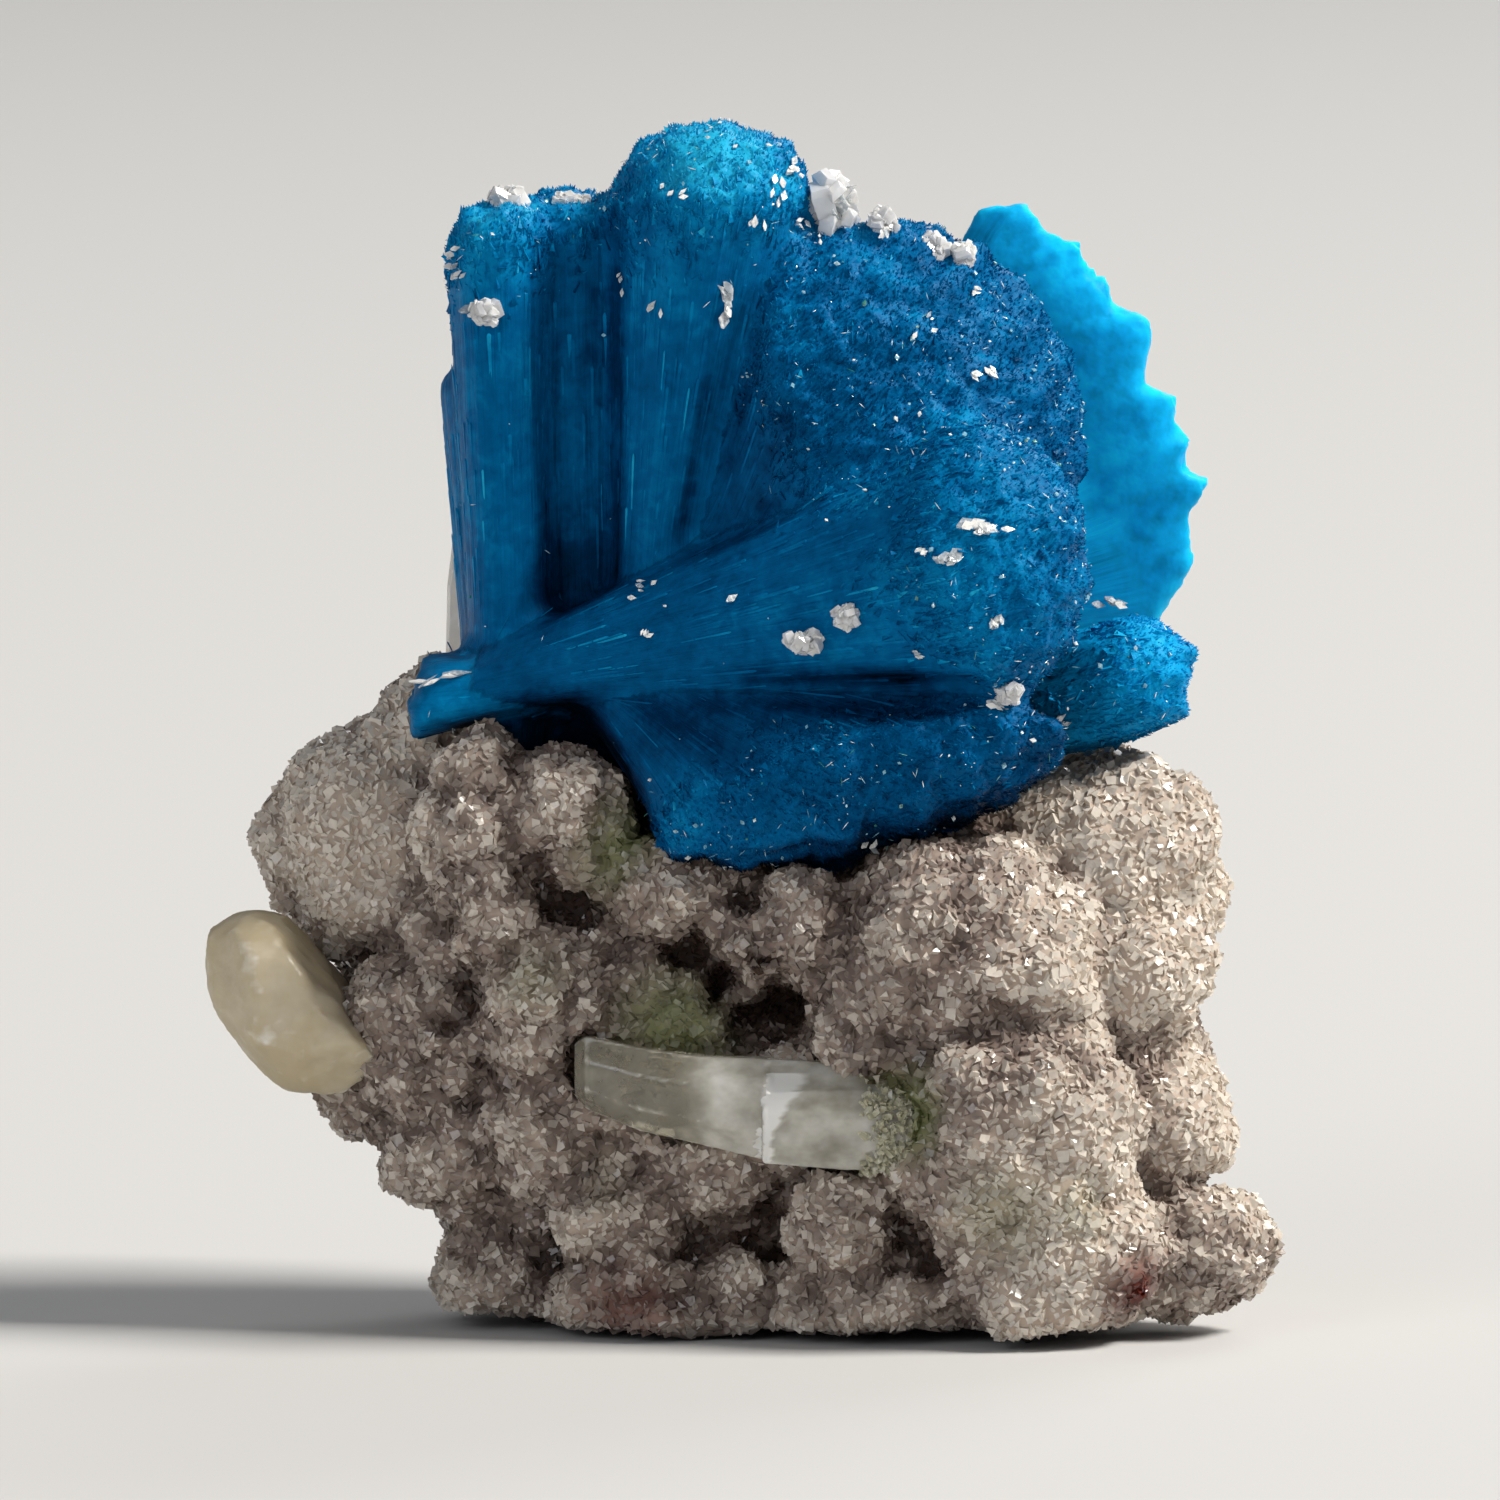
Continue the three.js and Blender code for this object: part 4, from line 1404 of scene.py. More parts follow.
def marks_tree(marks: Mapping[str, str]) -> NodeTree:
    """Builds the tree that takes over marks from the nearest place of another mesh.

    Args:
        marks: The marks' names, and the data type of each.

    Returns:
        The geometry tree, with the input Model.
    """
    tree, add, given = new_geometry_tree("marks of the nearest sheaf", Model="NodeSocketObject")
    model = add("GeometryNodeObjectInfo", {"Object": given["Model"]}).outputs["Geometry"]
    place = add("GeometryNodeInputPosition")
    end: Node | NodeSocket = given["Geometry"]
    for name, kind in marks.items():
        read = add("GeometryNodeInputNamedAttribute", (name,), data_type=kind)
        nearest = {"Mesh": model, "Value": read, "Sample Position": place}
        near = add("GeometryNodeSampleNearestSurface", nearest, data_type=kind)
        marked = {"Geometry": end, "Name": name, "Value": near}
        end = add("GeometryNodeStoreNamedAttribute", marked, data_type=kind)
    add("NodeGroupOutput", (end,))
    return tree


@dataclass
class SkinSpots:
    """Places on a skin, with what the skin says there."""

    at: np.ndarray
    normal: np.ndarray
    marks: Marks

    def only(self, chosen: np.ndarray) -> SkinSpots:
        """Gives the chosen places alone."""
        return SkinSpots(self.at[chosen], self.normal[chosen], {k: v[chosen] for k, v in self.marks.items()})

    @staticmethod
    def scatter(skin: Object, names: Sequence[str], density: float, rng: np.random.Generator) -> SkinSpots:
        """Scatters places over a skin.

        Args:
            skin: The skin's object, in millimetres.
            names: The marks to read.
            density: Places for each square millimetre.
            rng: The source of chance.

        Returns:
            The places.
        """
        skin.data.calc_loop_triangles()
        triangles = skin.data.loop_triangles
        areas = rows_of(triangles, "area", 1).ravel()
        total = int(areas.sum() * density)
        picked = rng.choice(len(areas), total, p=areas / areas.sum())
        picked = rows_of(triangles, "vertices", 3, np.int32)[picked]
        share = rng.dirichlet((1, 1, 1), total)[..., None]
        layers = {name: read_marks(skin, name).reshape(len(skin.data.vertices), -1) for name in names}
        marks = {name: (rows[picked] * share).sum(1).squeeze() for name, rows in layers.items()}
        at, normal = ((rows[picked] * share).sum(1) for rows in (corners_of(skin), normals_of(skin)))
        return SkinSpots(at, unit(normal), marks)


def tuft_tree(calming: float = 0.35) -> NodeTree:
    """Builds the tree that gives a skin its tufts on the caps and ridges down the flanks.

    Args:
        calming: The share that is missing from both on the palest crystal.

    Returns:
        The geometry tree, with the inputs Tuft, Tuft height and Ridge height.
    """
    tree, add, given = new_geometry_tree("tufts and ridges", Tuft=0.8, Tuft_height=0.3, Ridge_height=0.06)
    place, normal = add("GeometryNodeInputPosition"), add("GeometryNodeInputNormal")
    cap, pale, way, grain = (
        add("GeometryNodeInputNamedAttribute", (name,), data_type=SHEAF_MARKS[name])
        for name in ("cap", "pale", "way", "grain")
    )
    flank = add("ShaderNodeMath", (1.0, cap), operation="SUBTRACT")
    finer = add("ShaderNodeMath", (1.0, given["Tuft"]), operation="DIVIDE")
    calm = add("ShaderNodeMath", (pale, -calming, 1.0), operation="MULTIPLY_ADD")
    end: Node | NodeSocket = given["Geometry"]
    for vector, scale, share, height, line in (
        (place, finer, cap, given["Tuft height"], way),
        (grain, 0.3, flank, given["Ridge height"], normal),
    ):
        noise = add("ShaderNodeTexNoise", dict(zip(NOISE, (vector, scale, 2.0, 0.6))))
        lift = add("ShaderNodeMath", (noise, 2.0, -1.0), operation="MULTIPLY_ADD")
        for factor in (height, share, calm):
            lift = add("ShaderNodeMath", (lift, factor), operation="MULTIPLY")
        offset = add("ShaderNodeVectorMath", {0: line, "Scale": lift}, operation="SCALE")
        end = add("GeometryNodeSetPosition", {"Geometry": end, "Offset": offset})
    add("NodeGroupOutput", (end,))
    return tree


@dataclass
class CavansiteSpray:
    """The blue spray: a grown-together skin of fluted sheaves, with needles and laths on it."""

    sheaves: Mapping[str, Sheaf] = field(default_factory=lambda: SHEAVES)
    core_inset: float = 0.3
    core_voxel: float = 0.3
    core_end: tuple[Vec3, Vec3] = ((4.0, 1.5, 0.0), (0.6, 0.8, 0.0))
    shell_step: float = 0.1
    shell_rows: int = 14
    cap_rings: int = 10
    closing: float = 0.22
    closing_voxel: float = 0.16
    voxel: float = 0.133
    fan_voxel: float = 0.12
    tuft: float = 0.7
    tuft_height: float = 0.38
    ridge_height: float = 0.09
    # How the painted shade of the clefts is found
    rays: int = 16
    reach: float = 2.6
    spike: float = 0.155
    spike_length: float = 0.3
    cap_density: float = 148.0
    needle: float = 0.06
    needle_length: float = 0.5
    edge_density: float = 18.0
    lath: float = 0.085
    lath_density: float = 3.4
    flute: float = 0.085
    streak: float = 0.11
    edge_width: float = 0.6
    # The painted shade in the grooves of the flutes
    groove_shade: float = 0.16
    fewest_turns: int = 48
    most_turns: int = 230
    # How light the skin is, how dark the painted shade in the deepest cleft is, and how pale a skin
    # may be that bears tips and needles
    light: float = 0.56
    cleft_depth: float = 0.62
    palest: float = 0.22
    # How much lighter the caps are, and the painted highlight on caps that face upwards
    cap_light: float = 0.05
    top_light: float = 0.18
    # The painted shade on the backlit fan's outer part
    fan_edge_shade: float = 0.17
    # The share of each sheaf that bears laths, where the brighter ones end and how bright they are
    lath_from: float = 0.17
    lath_to: float = 0.86
    bright_to: float = 0.42
    bright_by: float = 0.22
    lath_length: tuple[float, float] = (0.6, 2.6)
    # How far a tip leans towards the skin's own way, and how far it stands out
    tip_lean: float = 0.3
    tip_lean_spread: float = 0.45
    tip_scatter: float = 0.25
    tip_proud: float = 0.015
    tip_proud_spread: float = 0.065
    tip_proud_rare: float = 0.06
    needle_proud: float = 0.02
    needle_proud_spread: float = 0.1
    # The few tips with a painted glint, and how much darker a foot and lighter an end is
    glitter: float = 0.24
    glitter_share: float = 0.05
    foot_shade: float = 0.1
    end_light: float = 0.08
    # Painted light: patches made lighter where light shines through the ends of the sheaves
    bright: tuple[Stain, ...] = patches(
        ((-0.6, -2.4, 29.0), 1.6, 0.27), ((1.1, -2.2, 28.4), 1.1, 0.2), ((-6.3, -2.4, 27.0), 1.5, 0.1),
        ((2.2, -6.0, 17.2), 1.6, 0.08), ((5.9, -6.5, 18.3), 2.0, 0.08), ((1.0, -6.5, 12.4), 2.0, 0.09),
        ((-1.5, -5.4, 12.8), 1.6, 0.15), ((8.2, 2.1, 25.9), 0.5, 0.12), ((9.7, 2.2, 18.2), 1.8, 0.13),
        ((8.6, 2.1, 21.8), 2.2, 0.14),
    )
    seed: int = 7

    def shell(self, growing: GrowingSheaf, number: int) -> tuple[np.ndarray, list[tuple[int, ...]], Marks]:
        """Builds the fluted skin of one sheaf, from its root over its flank and its cap.

        Args:
            growing: The sheaf.
            number: Its place in the row of sheaves, which sets its streaks apart.

        Returns:
            Its corners, its faces and the marks that its material reads.
        """
        sheaf = growing.sheaf
        turns = int(np.clip(growing.arc[-1] / self.shell_step, self.fewest_turns, self.most_turns))
        angle = growing.angle_at(np.arange(turns) / turns * growing.arc[-1])
        rim = growing.rim(angle)
        # How far down the flank the needles' tips reach, at each angle
        depth = sheaf.crown + sheaf.crown_swing * np.cos(angle)
        first, second = growing.phases[:2]
        ragged = 1 + 0.25 * np.sin(3 * angle + first) + 0.3 * np.sin(8 * angle + second)
        depth = np.maximum(depth, 0.3) * ragged
        top = (growing.shoulder(rim) - sheaf.teeth * growing.tooth(rim)) / growing.length
        rows, shares, caps, edges = [], [], [], []
        for row in range(self.shell_rows + 1):
            share = (row / self.shell_rows) ** 0.9
            below = (1 - share) * growing.length
            rows.append(growing.place(rim, share * (1 - top)))
            shares.append(np.full(turns, share))
            caps.append(np.clip(1 - below / depth, 0, 1))
            edges.append(np.full(turns, np.clip(1 - below / self.edge_width, 0, 1)))
        for ring in range(self.cap_rings - 1, 0, -1):
            disc = rim * (ring / self.cap_rings)
            high = np.nan_to_num(growing.skin_height(disc)) * sheaf.follow
            high = np.clip(high, -1, 1) - growing.shoulder(disc)
            high = high + sheaf.teeth * growing.tooth(disc)
            rows.append(sheaf.end(disc) + growing.way(disc) * high[:, None])
            shares.append(np.full(turns, 1.0))
            caps.append(np.ones(turns))
            edges.append(np.full(turns, np.clip((ring / self.cap_rings - 0.6) / 0.4, 0, 1)))
        corners, share = np.concatenate(rows), np.concatenate(shares)
        count, levels = len(corners), len(rows)
        arc = np.tile(np.interp(angle, growing.angles, growing.arc), levels)
        # Needles spread less along a toothed rim
        slim = np.array([1.0, 1 - 0.25 * bool(sheaf.teeth)])
        apart = np.full(count, 9.0 * number)
        marks = {
            "cap": np.concatenate(caps) * (sheaf.crown > 0),
            "edge": np.concatenate(edges) * (sheaf.crown > 0),
            "share": share,
            # Each sheaf's painted light and shade, with painted shade in the grooves of its flutes
            "shade": sheaf.shade - self.groove_shade * growing.groove(np.tile(angle, levels)),
            "pale": np.full(count, sheaf.pale),
            "grain": np.stack([arc / self.streak, share * growing.length / 3, apart], 1),
            "way": np.tile(growing.way(rim * slim), (levels, 1)),
        }
        ring = np.arange(count).reshape(levels, turns)
        beside = np.roll(ring, -1, axis=1)
        sides = np.stack([ring[:-1], beside[:-1], beside[1:], ring[1:]], -1).reshape(-1, 4)
        return corners, [*sides.tolist(), ring[0][::-1].tolist(), ring[-1].tolist()], marks

    def shells(self, name: str, grown: Sequence[GrowingSheaf]) -> Object:
        """Builds the shells of some sheaves as one mesh with their marks.

        Args:
            name: The mesh's name.
            grown: The sheaves.

        Returns:
            The shells' object.
        """
        corners, faces, marks, count = [], [], {}, 0
        for number, growing in enumerate(grown):
            more, ring, numbers = self.shell(growing, number)
            corners.append(more)
            faces += [tuple(c + count for c in face) for face in ring]
            for label, values in numbers.items():
                marks.setdefault(label, []).append(values)
            count += len(more)
        piece = mesh_object(name, np.concatenate(corners), faces)
        store(piece, **{label: np.concatenate(values) for label, values in marks.items()})
        return reworked(lambda shape: bmesh.ops.recalc_face_normals(shape, faces=shape.faces), piece)

    def grow_together(self, name: str, shells: Object, core: Object | None) -> Object:
        """Grows shells together into one closed surface, as crystals do that meet.

        Args:
            name: The piece's name.
            shells: The shells, which stay.
            core: What fills the space between their roots, if anything does.

        Returns:
            The surface, in millimetres.
        """
        steps = [voxels(self.fan_voxel)]
        if core is not None:
            rough = voxels(self.closing_voxel)
            steps = [rough, swelling(self.closing), rough, swelling(-self.closing), voxels(self.voxel)]
        piece = reworked(None, *([shells] if core is None else [shells, core]), name=name)
        shape_by(piece, *steps, softening(2))
        for label in [layer.name for layer in piece.data.attributes if layer.name in SHEAF_MARKS]:
            piece.data.attributes.remove(piece.data.attributes[label])
        return piece

    def skin(self, name: str, shells: Object, core: Object | None, around: Object) -> Object:
        """Makes the dressed skin of some sheaves.

        Args:
            name: The piece's name.
            shells: The shells, which are used up.
            core: What fills the space between their roots, if anything does.
            around: What shades the skin from outside.

        Returns:
            The skin with the marks that its material reads, in millimetres.
        """
        piece = self.grow_together(name, shells, core)
        run_tree(piece, marks_tree(SHEAF_MARKS), Model=shells)
        drop(shells)
        heights = {"Tuft_height": self.tuft_height, "Ridge_height": self.ridge_height}
        run_tree(piece, tuft_tree(), Tuft=self.tuft, **heights)
        run_tree(piece, cleft_tree(self.rays), Around=around, Reach=self.reach)
        piece.data.shade_smooth()
        cleft, shade, cap, pale, share = (
            read_marks(piece, mark) for mark in ("cleft", "shade", "cap", "pale", "share")
        )
        cleft = np.clip((cleft - 0.12) / 0.6, 0, 1)
        upward = np.clip(normals_of(piece)[:, 2], 0, 1)
        # Painted shade in the clefts, but not on the pale fan; then painted highlights on the caps that face
        # upwards and painted light in patches
        level = self.light + shade - self.cleft_depth * cleft * (1 - pale)
        level += cap * (self.cap_light + self.top_light * upward) + stained(corners_of(piece), self.bright)
        # Painted shade: the last fifth of the backlit fan is a little darker
        level -= self.fan_edge_shade * pale * np.clip(share * 5 - 4, 0, 1)
        store(piece, level=level, low=level, high=level)
        return piece

    def plant_spikes(self, skin: Object, rng: np.random.Generator) -> dict[str, CrystalBed]:
        """Plants the short tips of needles on the caps of a skin, and fewer down the flanks.

        Args:
            skin: The skin, in millimetres.
            rng: The source of chance.

        Returns:
            The upper and the lower tips.
        """
        spots = SkinSpots.scatter(skin, ("cap", "level", "pale", "way"), self.cap_density, rng)
        chance = np.clip(spots.marks["cap"] * 1.1, 0, 1) ** 1.5
        spots = spots.only((rng.random(len(chance)) < chance) & (spots.marks["pale"] < self.palest))
        count = len(spots.at)
        blend = self.tip_lean + self.tip_lean_spread * rng.random((count, 1))
        way = unit(spots.marks["way"]) * (1 - blend) + spots.normal * blend
        way = unit(way + rng.normal(0, self.tip_scatter, (count, 3)))
        facing = np.abs((way * spots.normal).sum(1))
        proud = self.tip_proud + self.tip_proud_spread * rng.random(count)
        proud = proud + self.tip_proud_rare * rng.random(count) ** 6
        length = self.spike_length * rng.uniform(0.8, 1.2, count)
        wide = self.spike * rng.uniform(0.6, 1.35, count)
        top = spots.at + way * (proud / np.maximum(facing, 0.5))[:, None]
        flat = rng.normal(0, 1, (count, 3))
        thick = wide * rng.uniform(0.4, 1, count)
        level = spots.marks["level"] + rng.normal(0.0, 0.045, count)
        # A painted glint on a few tips
        level = level + self.glitter * (rng.random(count) < self.glitter_share)
        marks = {"way": way, "flat": flat, "low": level - self.foot_shade, "high": level + self.end_light}
        marks |= {"pale": spots.marks["pale"], "cap": np.ones(count)}
        beds, upper = {}, top[:, 2] > np.median(top[:, 2])
        for name, chosen in (("upper", upper), ("lower", ~upper)):
            beds[name] = CrystalBed()
            foot = (top - way * length[:, None])[chosen]
            sizes = (wide[chosen], thick[chosen], length[chosen])
            beds[name].plant(foot, sizes, **{label: values[chosen] for label, values in marks.items()})
        return beds

    def plant_needles(self, skin: Object, rng: np.random.Generator) -> CrystalBed:
        """Plants the fine needles that stand out round the rims of the caps, like a comb's teeth.

        Args:
            skin: The skin, in millimetres.
            rng: The source of chance.

        Returns:
            The needles.
        """
        spots = SkinSpots.scatter(skin, ("edge", "level", "pale", "way"), self.edge_density, rng)
        chance = np.clip(spots.marks["edge"], 0, 1) ** 2 * (spots.marks["pale"] < self.palest)
        spots = spots.only(rng.random(len(chance)) < chance)
        count = len(spots.at)
        way = unit(unit(spots.marks["way"]) + rng.normal(0, 0.06, (count, 3)))
        proud = self.needle_proud + self.needle_proud_spread * rng.random(count) ** 2
        wide = self.needle * rng.uniform(0.6, 1.3, count)
        level = spots.marks["level"] + rng.normal(0.0, 0.05, count)
        bed = CrystalBed()
        bed.plant(
            spots.at + way * (proud - self.needle_length)[:, None],
            (wide, wide * 0.8, np.full(count, self.needle_length)),
            way=way,
            flat=rng.normal(0, 1, (count, 3)),
            low=level - self.foot_shade,
            high=level + self.end_light,
            pale=spots.marks["pale"],
            cap=np.ones(count),
        )
        return bed

    def plant_laths(self, skin: Object, rng: np.random.Generator) -> CrystalBed:
        """Plants thin laths along the flanks of a skin.

        Args:
            skin: The skin, in millimetres.
            rng: The source of chance.

        Returns:
            The laths.
        """
        spots = SkinSpots.scatter(skin, ("cap", "level", "pale", "way", "share"), self.lath_density, rng)
        share = spots.marks["share"]
        flank = (share > self.lath_from) & (share < self.lath_to)
        spots = spots.only((spots.marks["cap"] < 0.6) & flank)
        count, share = len(spots.at), spots.marks["share"]
        way = unit(spots.marks["way"])
        way = unit(way - spots.normal * (way * spots.normal).sum(1)[:, None] + spots.normal * 0.02)
        length = np.minimum(rng.uniform(*self.lath_length, count), 0.3 + 6 * (1 - share))
        girth = self.lath * rng.uniform(0.5, 1.5, count) * (0.4 + 0.6 * share)
        level = spots.marks["level"] + rng.normal(0.03, 0.05, count)
        # Some are much brighter, most of these near the root
        level += self.bright_by * (rng.random(count) < np.where(share < self.bright_to, 0.24, 0.06))
        bed = CrystalBed()
        bed.plant(
            spots.at - way * (length * 0.5)[:, None] - spots.normal * (girth * 0.1)[:, None],
            (girth, girth * 0.45, length),
            way=way,
            flat=np.cross(spots.normal, way) + rng.normal(0, 0.1, (count, 3)),
            low=level - 0.04,
            high=level + 0.06,
            pale=spots.marks["pale"],
            cap=np.zeros(count),
        )
        return bed

    def build(self, node: Object, around: Object) -> tuple[BVHTree, Object]:
        """Builds and dresses the spray.

        Args:
            node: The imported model's spray.
            around: What shades it from outside, in millimetres.

        Returns:
            The search tree of the finished skins, and a copy of the sheaves' skin with its marks,
            both in millimetres.
        """
        rng = np.random.default_rng(self.seed)
        core = merged_copy(node, "spray_core")
        packed = surface_of(core)
        grown = {name: GrowingSheaf(sheaf, packed, self.flute, rng) for name, sheaf in self.sheaves.items()}
        fan_shell = self.shells("fan_shells", [grown.pop("pale_fan")])
        cut_flat(core, [self.core_end])
        shape_by(core, voxels(self.core_voxel), swelling(-self.core_inset))
        skin = self.skin("cavansite_sheaves", self.shells("sheaf_shells", list(grown.values())), core, around)
        drop(core)
        fan = self.skin("cavansite_fan", fan_shell, None, skin)
        found = surface_of(skin, fan)
        tips, needles = self.plant_spikes(skin, rng), self.plant_needles(skin, rng)
        laths = self.plant_laths(skin, rng)
        ground = copy_of(skin, "spray_skin")
        tree = crystal_tree()
        coat = CavansiteFinish().material()
        backlit = CavansiteFinish(
            "cavansite_backlit",
            roughness=0.46,
            patch=3.0,
            mottle=1.3,
            fuzz=0.4,
            fibre=0.5,
            relief=0.5,
            glow=0.3,
            lustre=0.12,
        ).material()
        finish_piece(skin, ["cavansite_spray"], coat)
        finish_piece(fan, (), backlit)
        grown_pieces = (("laths", LATH, laths), ("needles", NEEDLE, needles))
        tip_pieces = ((f"tips_{name}", SPIKE, bed) for name, bed in tips.items())
        for name, form, bed in (*grown_pieces, *tip_pieces):
            finish_piece(bed.build(f"cavansite_{name}", form, tree, coat))
        return found, ground


@dataclass
class ClearStilbite:
    """The clear prism in the hollow of the matrix, with a bright frosted step near its middle.

    step_foot and step_top are x and z of the ends of the step's ragged left edge.
    """

    edge: float = 0.14
    edge_angle: float = 0.3
    voxel: float = 0.085
    step_foot: tuple[float, float] = (0.4, 4.9)
    step_top: tuple[float, float] = (0.66, 6.75)
    step_length: float = 1.5
    step_depth: float = 0.11
    step_ramp: float = 0.07
    # The waves of its ragged edge: how deep, how often in a millimetre and where they start
    ragged: tuple[Vec3, ...] = ((0.05, 7.0, 0.0), (0.04, 17.0, 1.0), (0.025, 41.0, 2.0))
    # The white behind it: how long it is, and where it gets how much longer
    white_ramp: float = 0.04
    white_length: float = 0.34
    white_longer: float = 0.5
    white_from: float = 5.5
    white_height: float = 1.1
    milk: float = 0.46
    milk_from: float = -2.4
    milk_width: float = 1.8
    # How white the painted highlight along the rounded edges is
    wear: float = 0.55
    grown_from: float = 2.95
    grown_density: float = 85.0
    seed: int = 5

    def past_step(self, corners: np.ndarray) -> np.ndarray:
        """Gives how far past the step's ragged edge each corner lies.

        Args:
            corners: The corners, one a row.

        Returns:
            A distance for each, below 0 to the left of the edge.
        """
        x, _, z = corners.T
        (foot, low), (top, high) = self.step_foot, self.step_top
        ragged = sum(depth * np.sin(often * z + start) for depth, often, start in self.ragged)
        return x - foot - (top - foot) * (z - low) / (high - low) - ragged

    def build(self, node: Object) -> list[Object]:
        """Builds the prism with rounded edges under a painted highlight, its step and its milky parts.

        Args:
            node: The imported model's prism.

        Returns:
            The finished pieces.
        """
        prism = merged_copy(node, "clear_prism")
        shape_by(prism, bevelled(self.edge, self.edge_angle), voxels(self.voxel), softening(2))
        corners, normals = corners_of(prism), normals_of(prism)
        front = np.clip(-4 * normals[:, 1] - 1.4, 0, 1)
        past = self.past_step(corners)
        dent = self.step_depth * front * np.clip(past / self.step_ramp, 0, 1)
        dent = dent * np.clip(1 - past / self.step_length, 0, 1)
        move_corners(prism, corners - normals * dent[:, None])
        x, _, z = corners.T
        upper = np.clip((z - self.white_from) / self.white_height, 0, 1)
        length = self.white_length + self.white_longer * upper
        step = front * np.clip(past / self.white_ramp, 0, 1) * np.clip(1.7 - past / length, 0.25, 1.5)
        step = step * np.clip((self.step_top[1] + 0.12 - z) / 0.1, 0, 1)
        milky = 0.06 + self.milk * np.clip((x - self.milk_from) / self.milk_width, 0, 1)
        milky = milky - 0.05 * np.clip(past / 0.1, 0, 1)
        # Painted highlight along the rounded edges
        worn = self.wear * np.clip(bulging(prism, 6) / 0.02, 0, 1)
        store(prism, frost=np.maximum(step, np.maximum(milky, worn)))
        prism.data.shade_smooth()
        coat = ClearFinish(
            "clear_stilbite",
            "#dcd6c2",
            0.8,
            0.09,
            2.2,
            absorb="#e2e2d0",
            density=0.06,
            haze=0.2,
            streaks=0.55,
            subsurface=0.25,
            stretch=(0.7, 1.0, 0.9),
            relief=0.04,
        )
        look = {"relief": 0.02, "haze": 0.2, "streaks": 0.5}
        druse = ClearFinish("yellow_green_druse", "#c4c0a4", 0.2, 0.25, 0.5, **look)
        grown = self.overgrowth(prism).build("prism_druse", BLOCK, crystal_tree(), druse.material())
        return [
            finish_piece(prism, [node.name], coat.material()),
            finish_piece(grown),
        ]

    def overgrowth(self, prism: Object) -> CrystalBed:
        """Plants the small yellow-green crystals that have grown over the prism's right end.

        Args:
            prism: The prism, in millimetres.

        Returns:
            The crystals.
        """
        rng = np.random.default_rng(self.seed)
        spots = SkinSpots.scatter(prism, ("frost",), self.grown_density, rng)
        spots = spots.only(spots.at[:, 0] > self.grown_from + 0.8 * rng.random(len(spots.at)) ** 2)
        count = len(spots.at)
        way = unit(spots.normal + rng.normal(0, 0.6, (count, 3)))
        length = rng.uniform(0.15, 0.42, count)
        wide = length * rng.uniform(0.3, 0.55, count)
        bed = CrystalBed()
        bed.plant(
            spots.at - way * length[:, None] * 0.4,
            (wide, wide * 0.6, length),
            way=way,
            flat=rng.normal(0, 1, (count, 3)),
            frost=0.45 * rng.random(count),
        )
        return bed


@dataclass
class CreamStilbite:
    """The smooth cream crystal mass at the left, with a few flat crystal faces.

    draw is how far its lower right is drawn out over the rock beside it.
    """

    voxel: float = 0.28
    fine_voxel: float = 0.13
    lump_size: float = 0.9
    lump_height: float = 0.3
    middle: Vec3 = (-11.2, -1.2, 7.95)
    draw: Vec3 = (1.2, -1.1, 0.1)
    # The way that each flat face looks, and how far it stands from the middle
    faces: tuple[tuple[Vec3, float], ...] = (
        ((-0.79, -0.15, -0.6), 1.6),
        ((0.74, -0.2, 0.64), 1.25),
        ((-0.1, -0.97, 0.12), 2.0),
        ((-0.75, -0.62, 0.0), 1.9),
        ((-0.55, -0.1, 0.83), 2.6),
        ((0.5, -0.3, -0.8), 2.9),
        ((0.1, -0.75, -0.65), 2.25),
    )

    def build(self, node: Object) -> list[Object]:
        """Builds the mass with rounded edges between its faces.

        Args:
            node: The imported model's cream crystal.

        Returns:
            The finished piece.
        """
        mass = shape_by(merged_copy(node, "cream_mass"), voxels(self.voxel), softening(6))
        corners = corners_of(mass)
        x, _, z = corners.T
        share = np.clip((x - self.middle[0]) / 1.6, 0, 1) * np.clip((8.2 - z) / 1.3, 0, 1)
        move_corners(mass, corners + share[:, None] * np.array(self.draw, np.float32))
        cut_flat(mass, [(Vector(self.middle) + Vector(n).normalized() * far, n) for n, far in self.faces])
        shape_by(mass, voxels(self.fine_voxel), softening(4))
        lumps = bpy.data.textures.new("lumps", "CLOUDS")
        lumps.noise_scale, lumps.noise_depth = self.lump_size, 3
        swell = {"texture": lumps, "strength": self.lump_height, "texture_coords": "LOCAL"}
        shape_by(mass, ("DISPLACE", swell))
        store(mass, frost=0.3 * np.clip(bulging(mass, 12) / 0.05, 0, 1))
        mass.data.shade_smooth()
        look = {"subsurface": 0.4, "stretch": (0.6, 1.0, 1.0), "relief": 0.12, "haze": 0.22}
        coat = ClearFinish("cream_stilbite", "#c6b797", 0.0, 0.5, 2.2, **look).material()
        return [finish_piece(mass, [node.name], coat)]


@dataclass
class WhiteBlade:
    """The thin white blade behind the left column."""

    edge: float = 0.1
    edge_angle: float = math.radians(30)

    def build(self, node: Object) -> list[Object]:
        """Builds the blade with softened edges.

        Args:
            node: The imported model's blade.

        Returns:
            The finished piece.
        """
        blade = merged_copy(node, "milky_blade")
        shape_by(blade, bevelled(self.edge, self.edge_angle))
        look = {"subsurface": 0.4, "stretch": (1.0, 1.0, 0.3)}
        coat = ClearFinish("milky_zeolite", "#f4efe6", 0.3, 0.2, 1.5, **look).material()
        return [finish_piece(blade, [node.name], coat)]


@dataclass(frozen=True)
class PlateGroup:
    """A group of thin white plates: where it is seen from the front, its spread and its plates."""

    at: tuple[float, float]
    spread: tuple[float, float]
    count: int
    longest: float
    lean: float = 0.0
    slim: float = 1.0


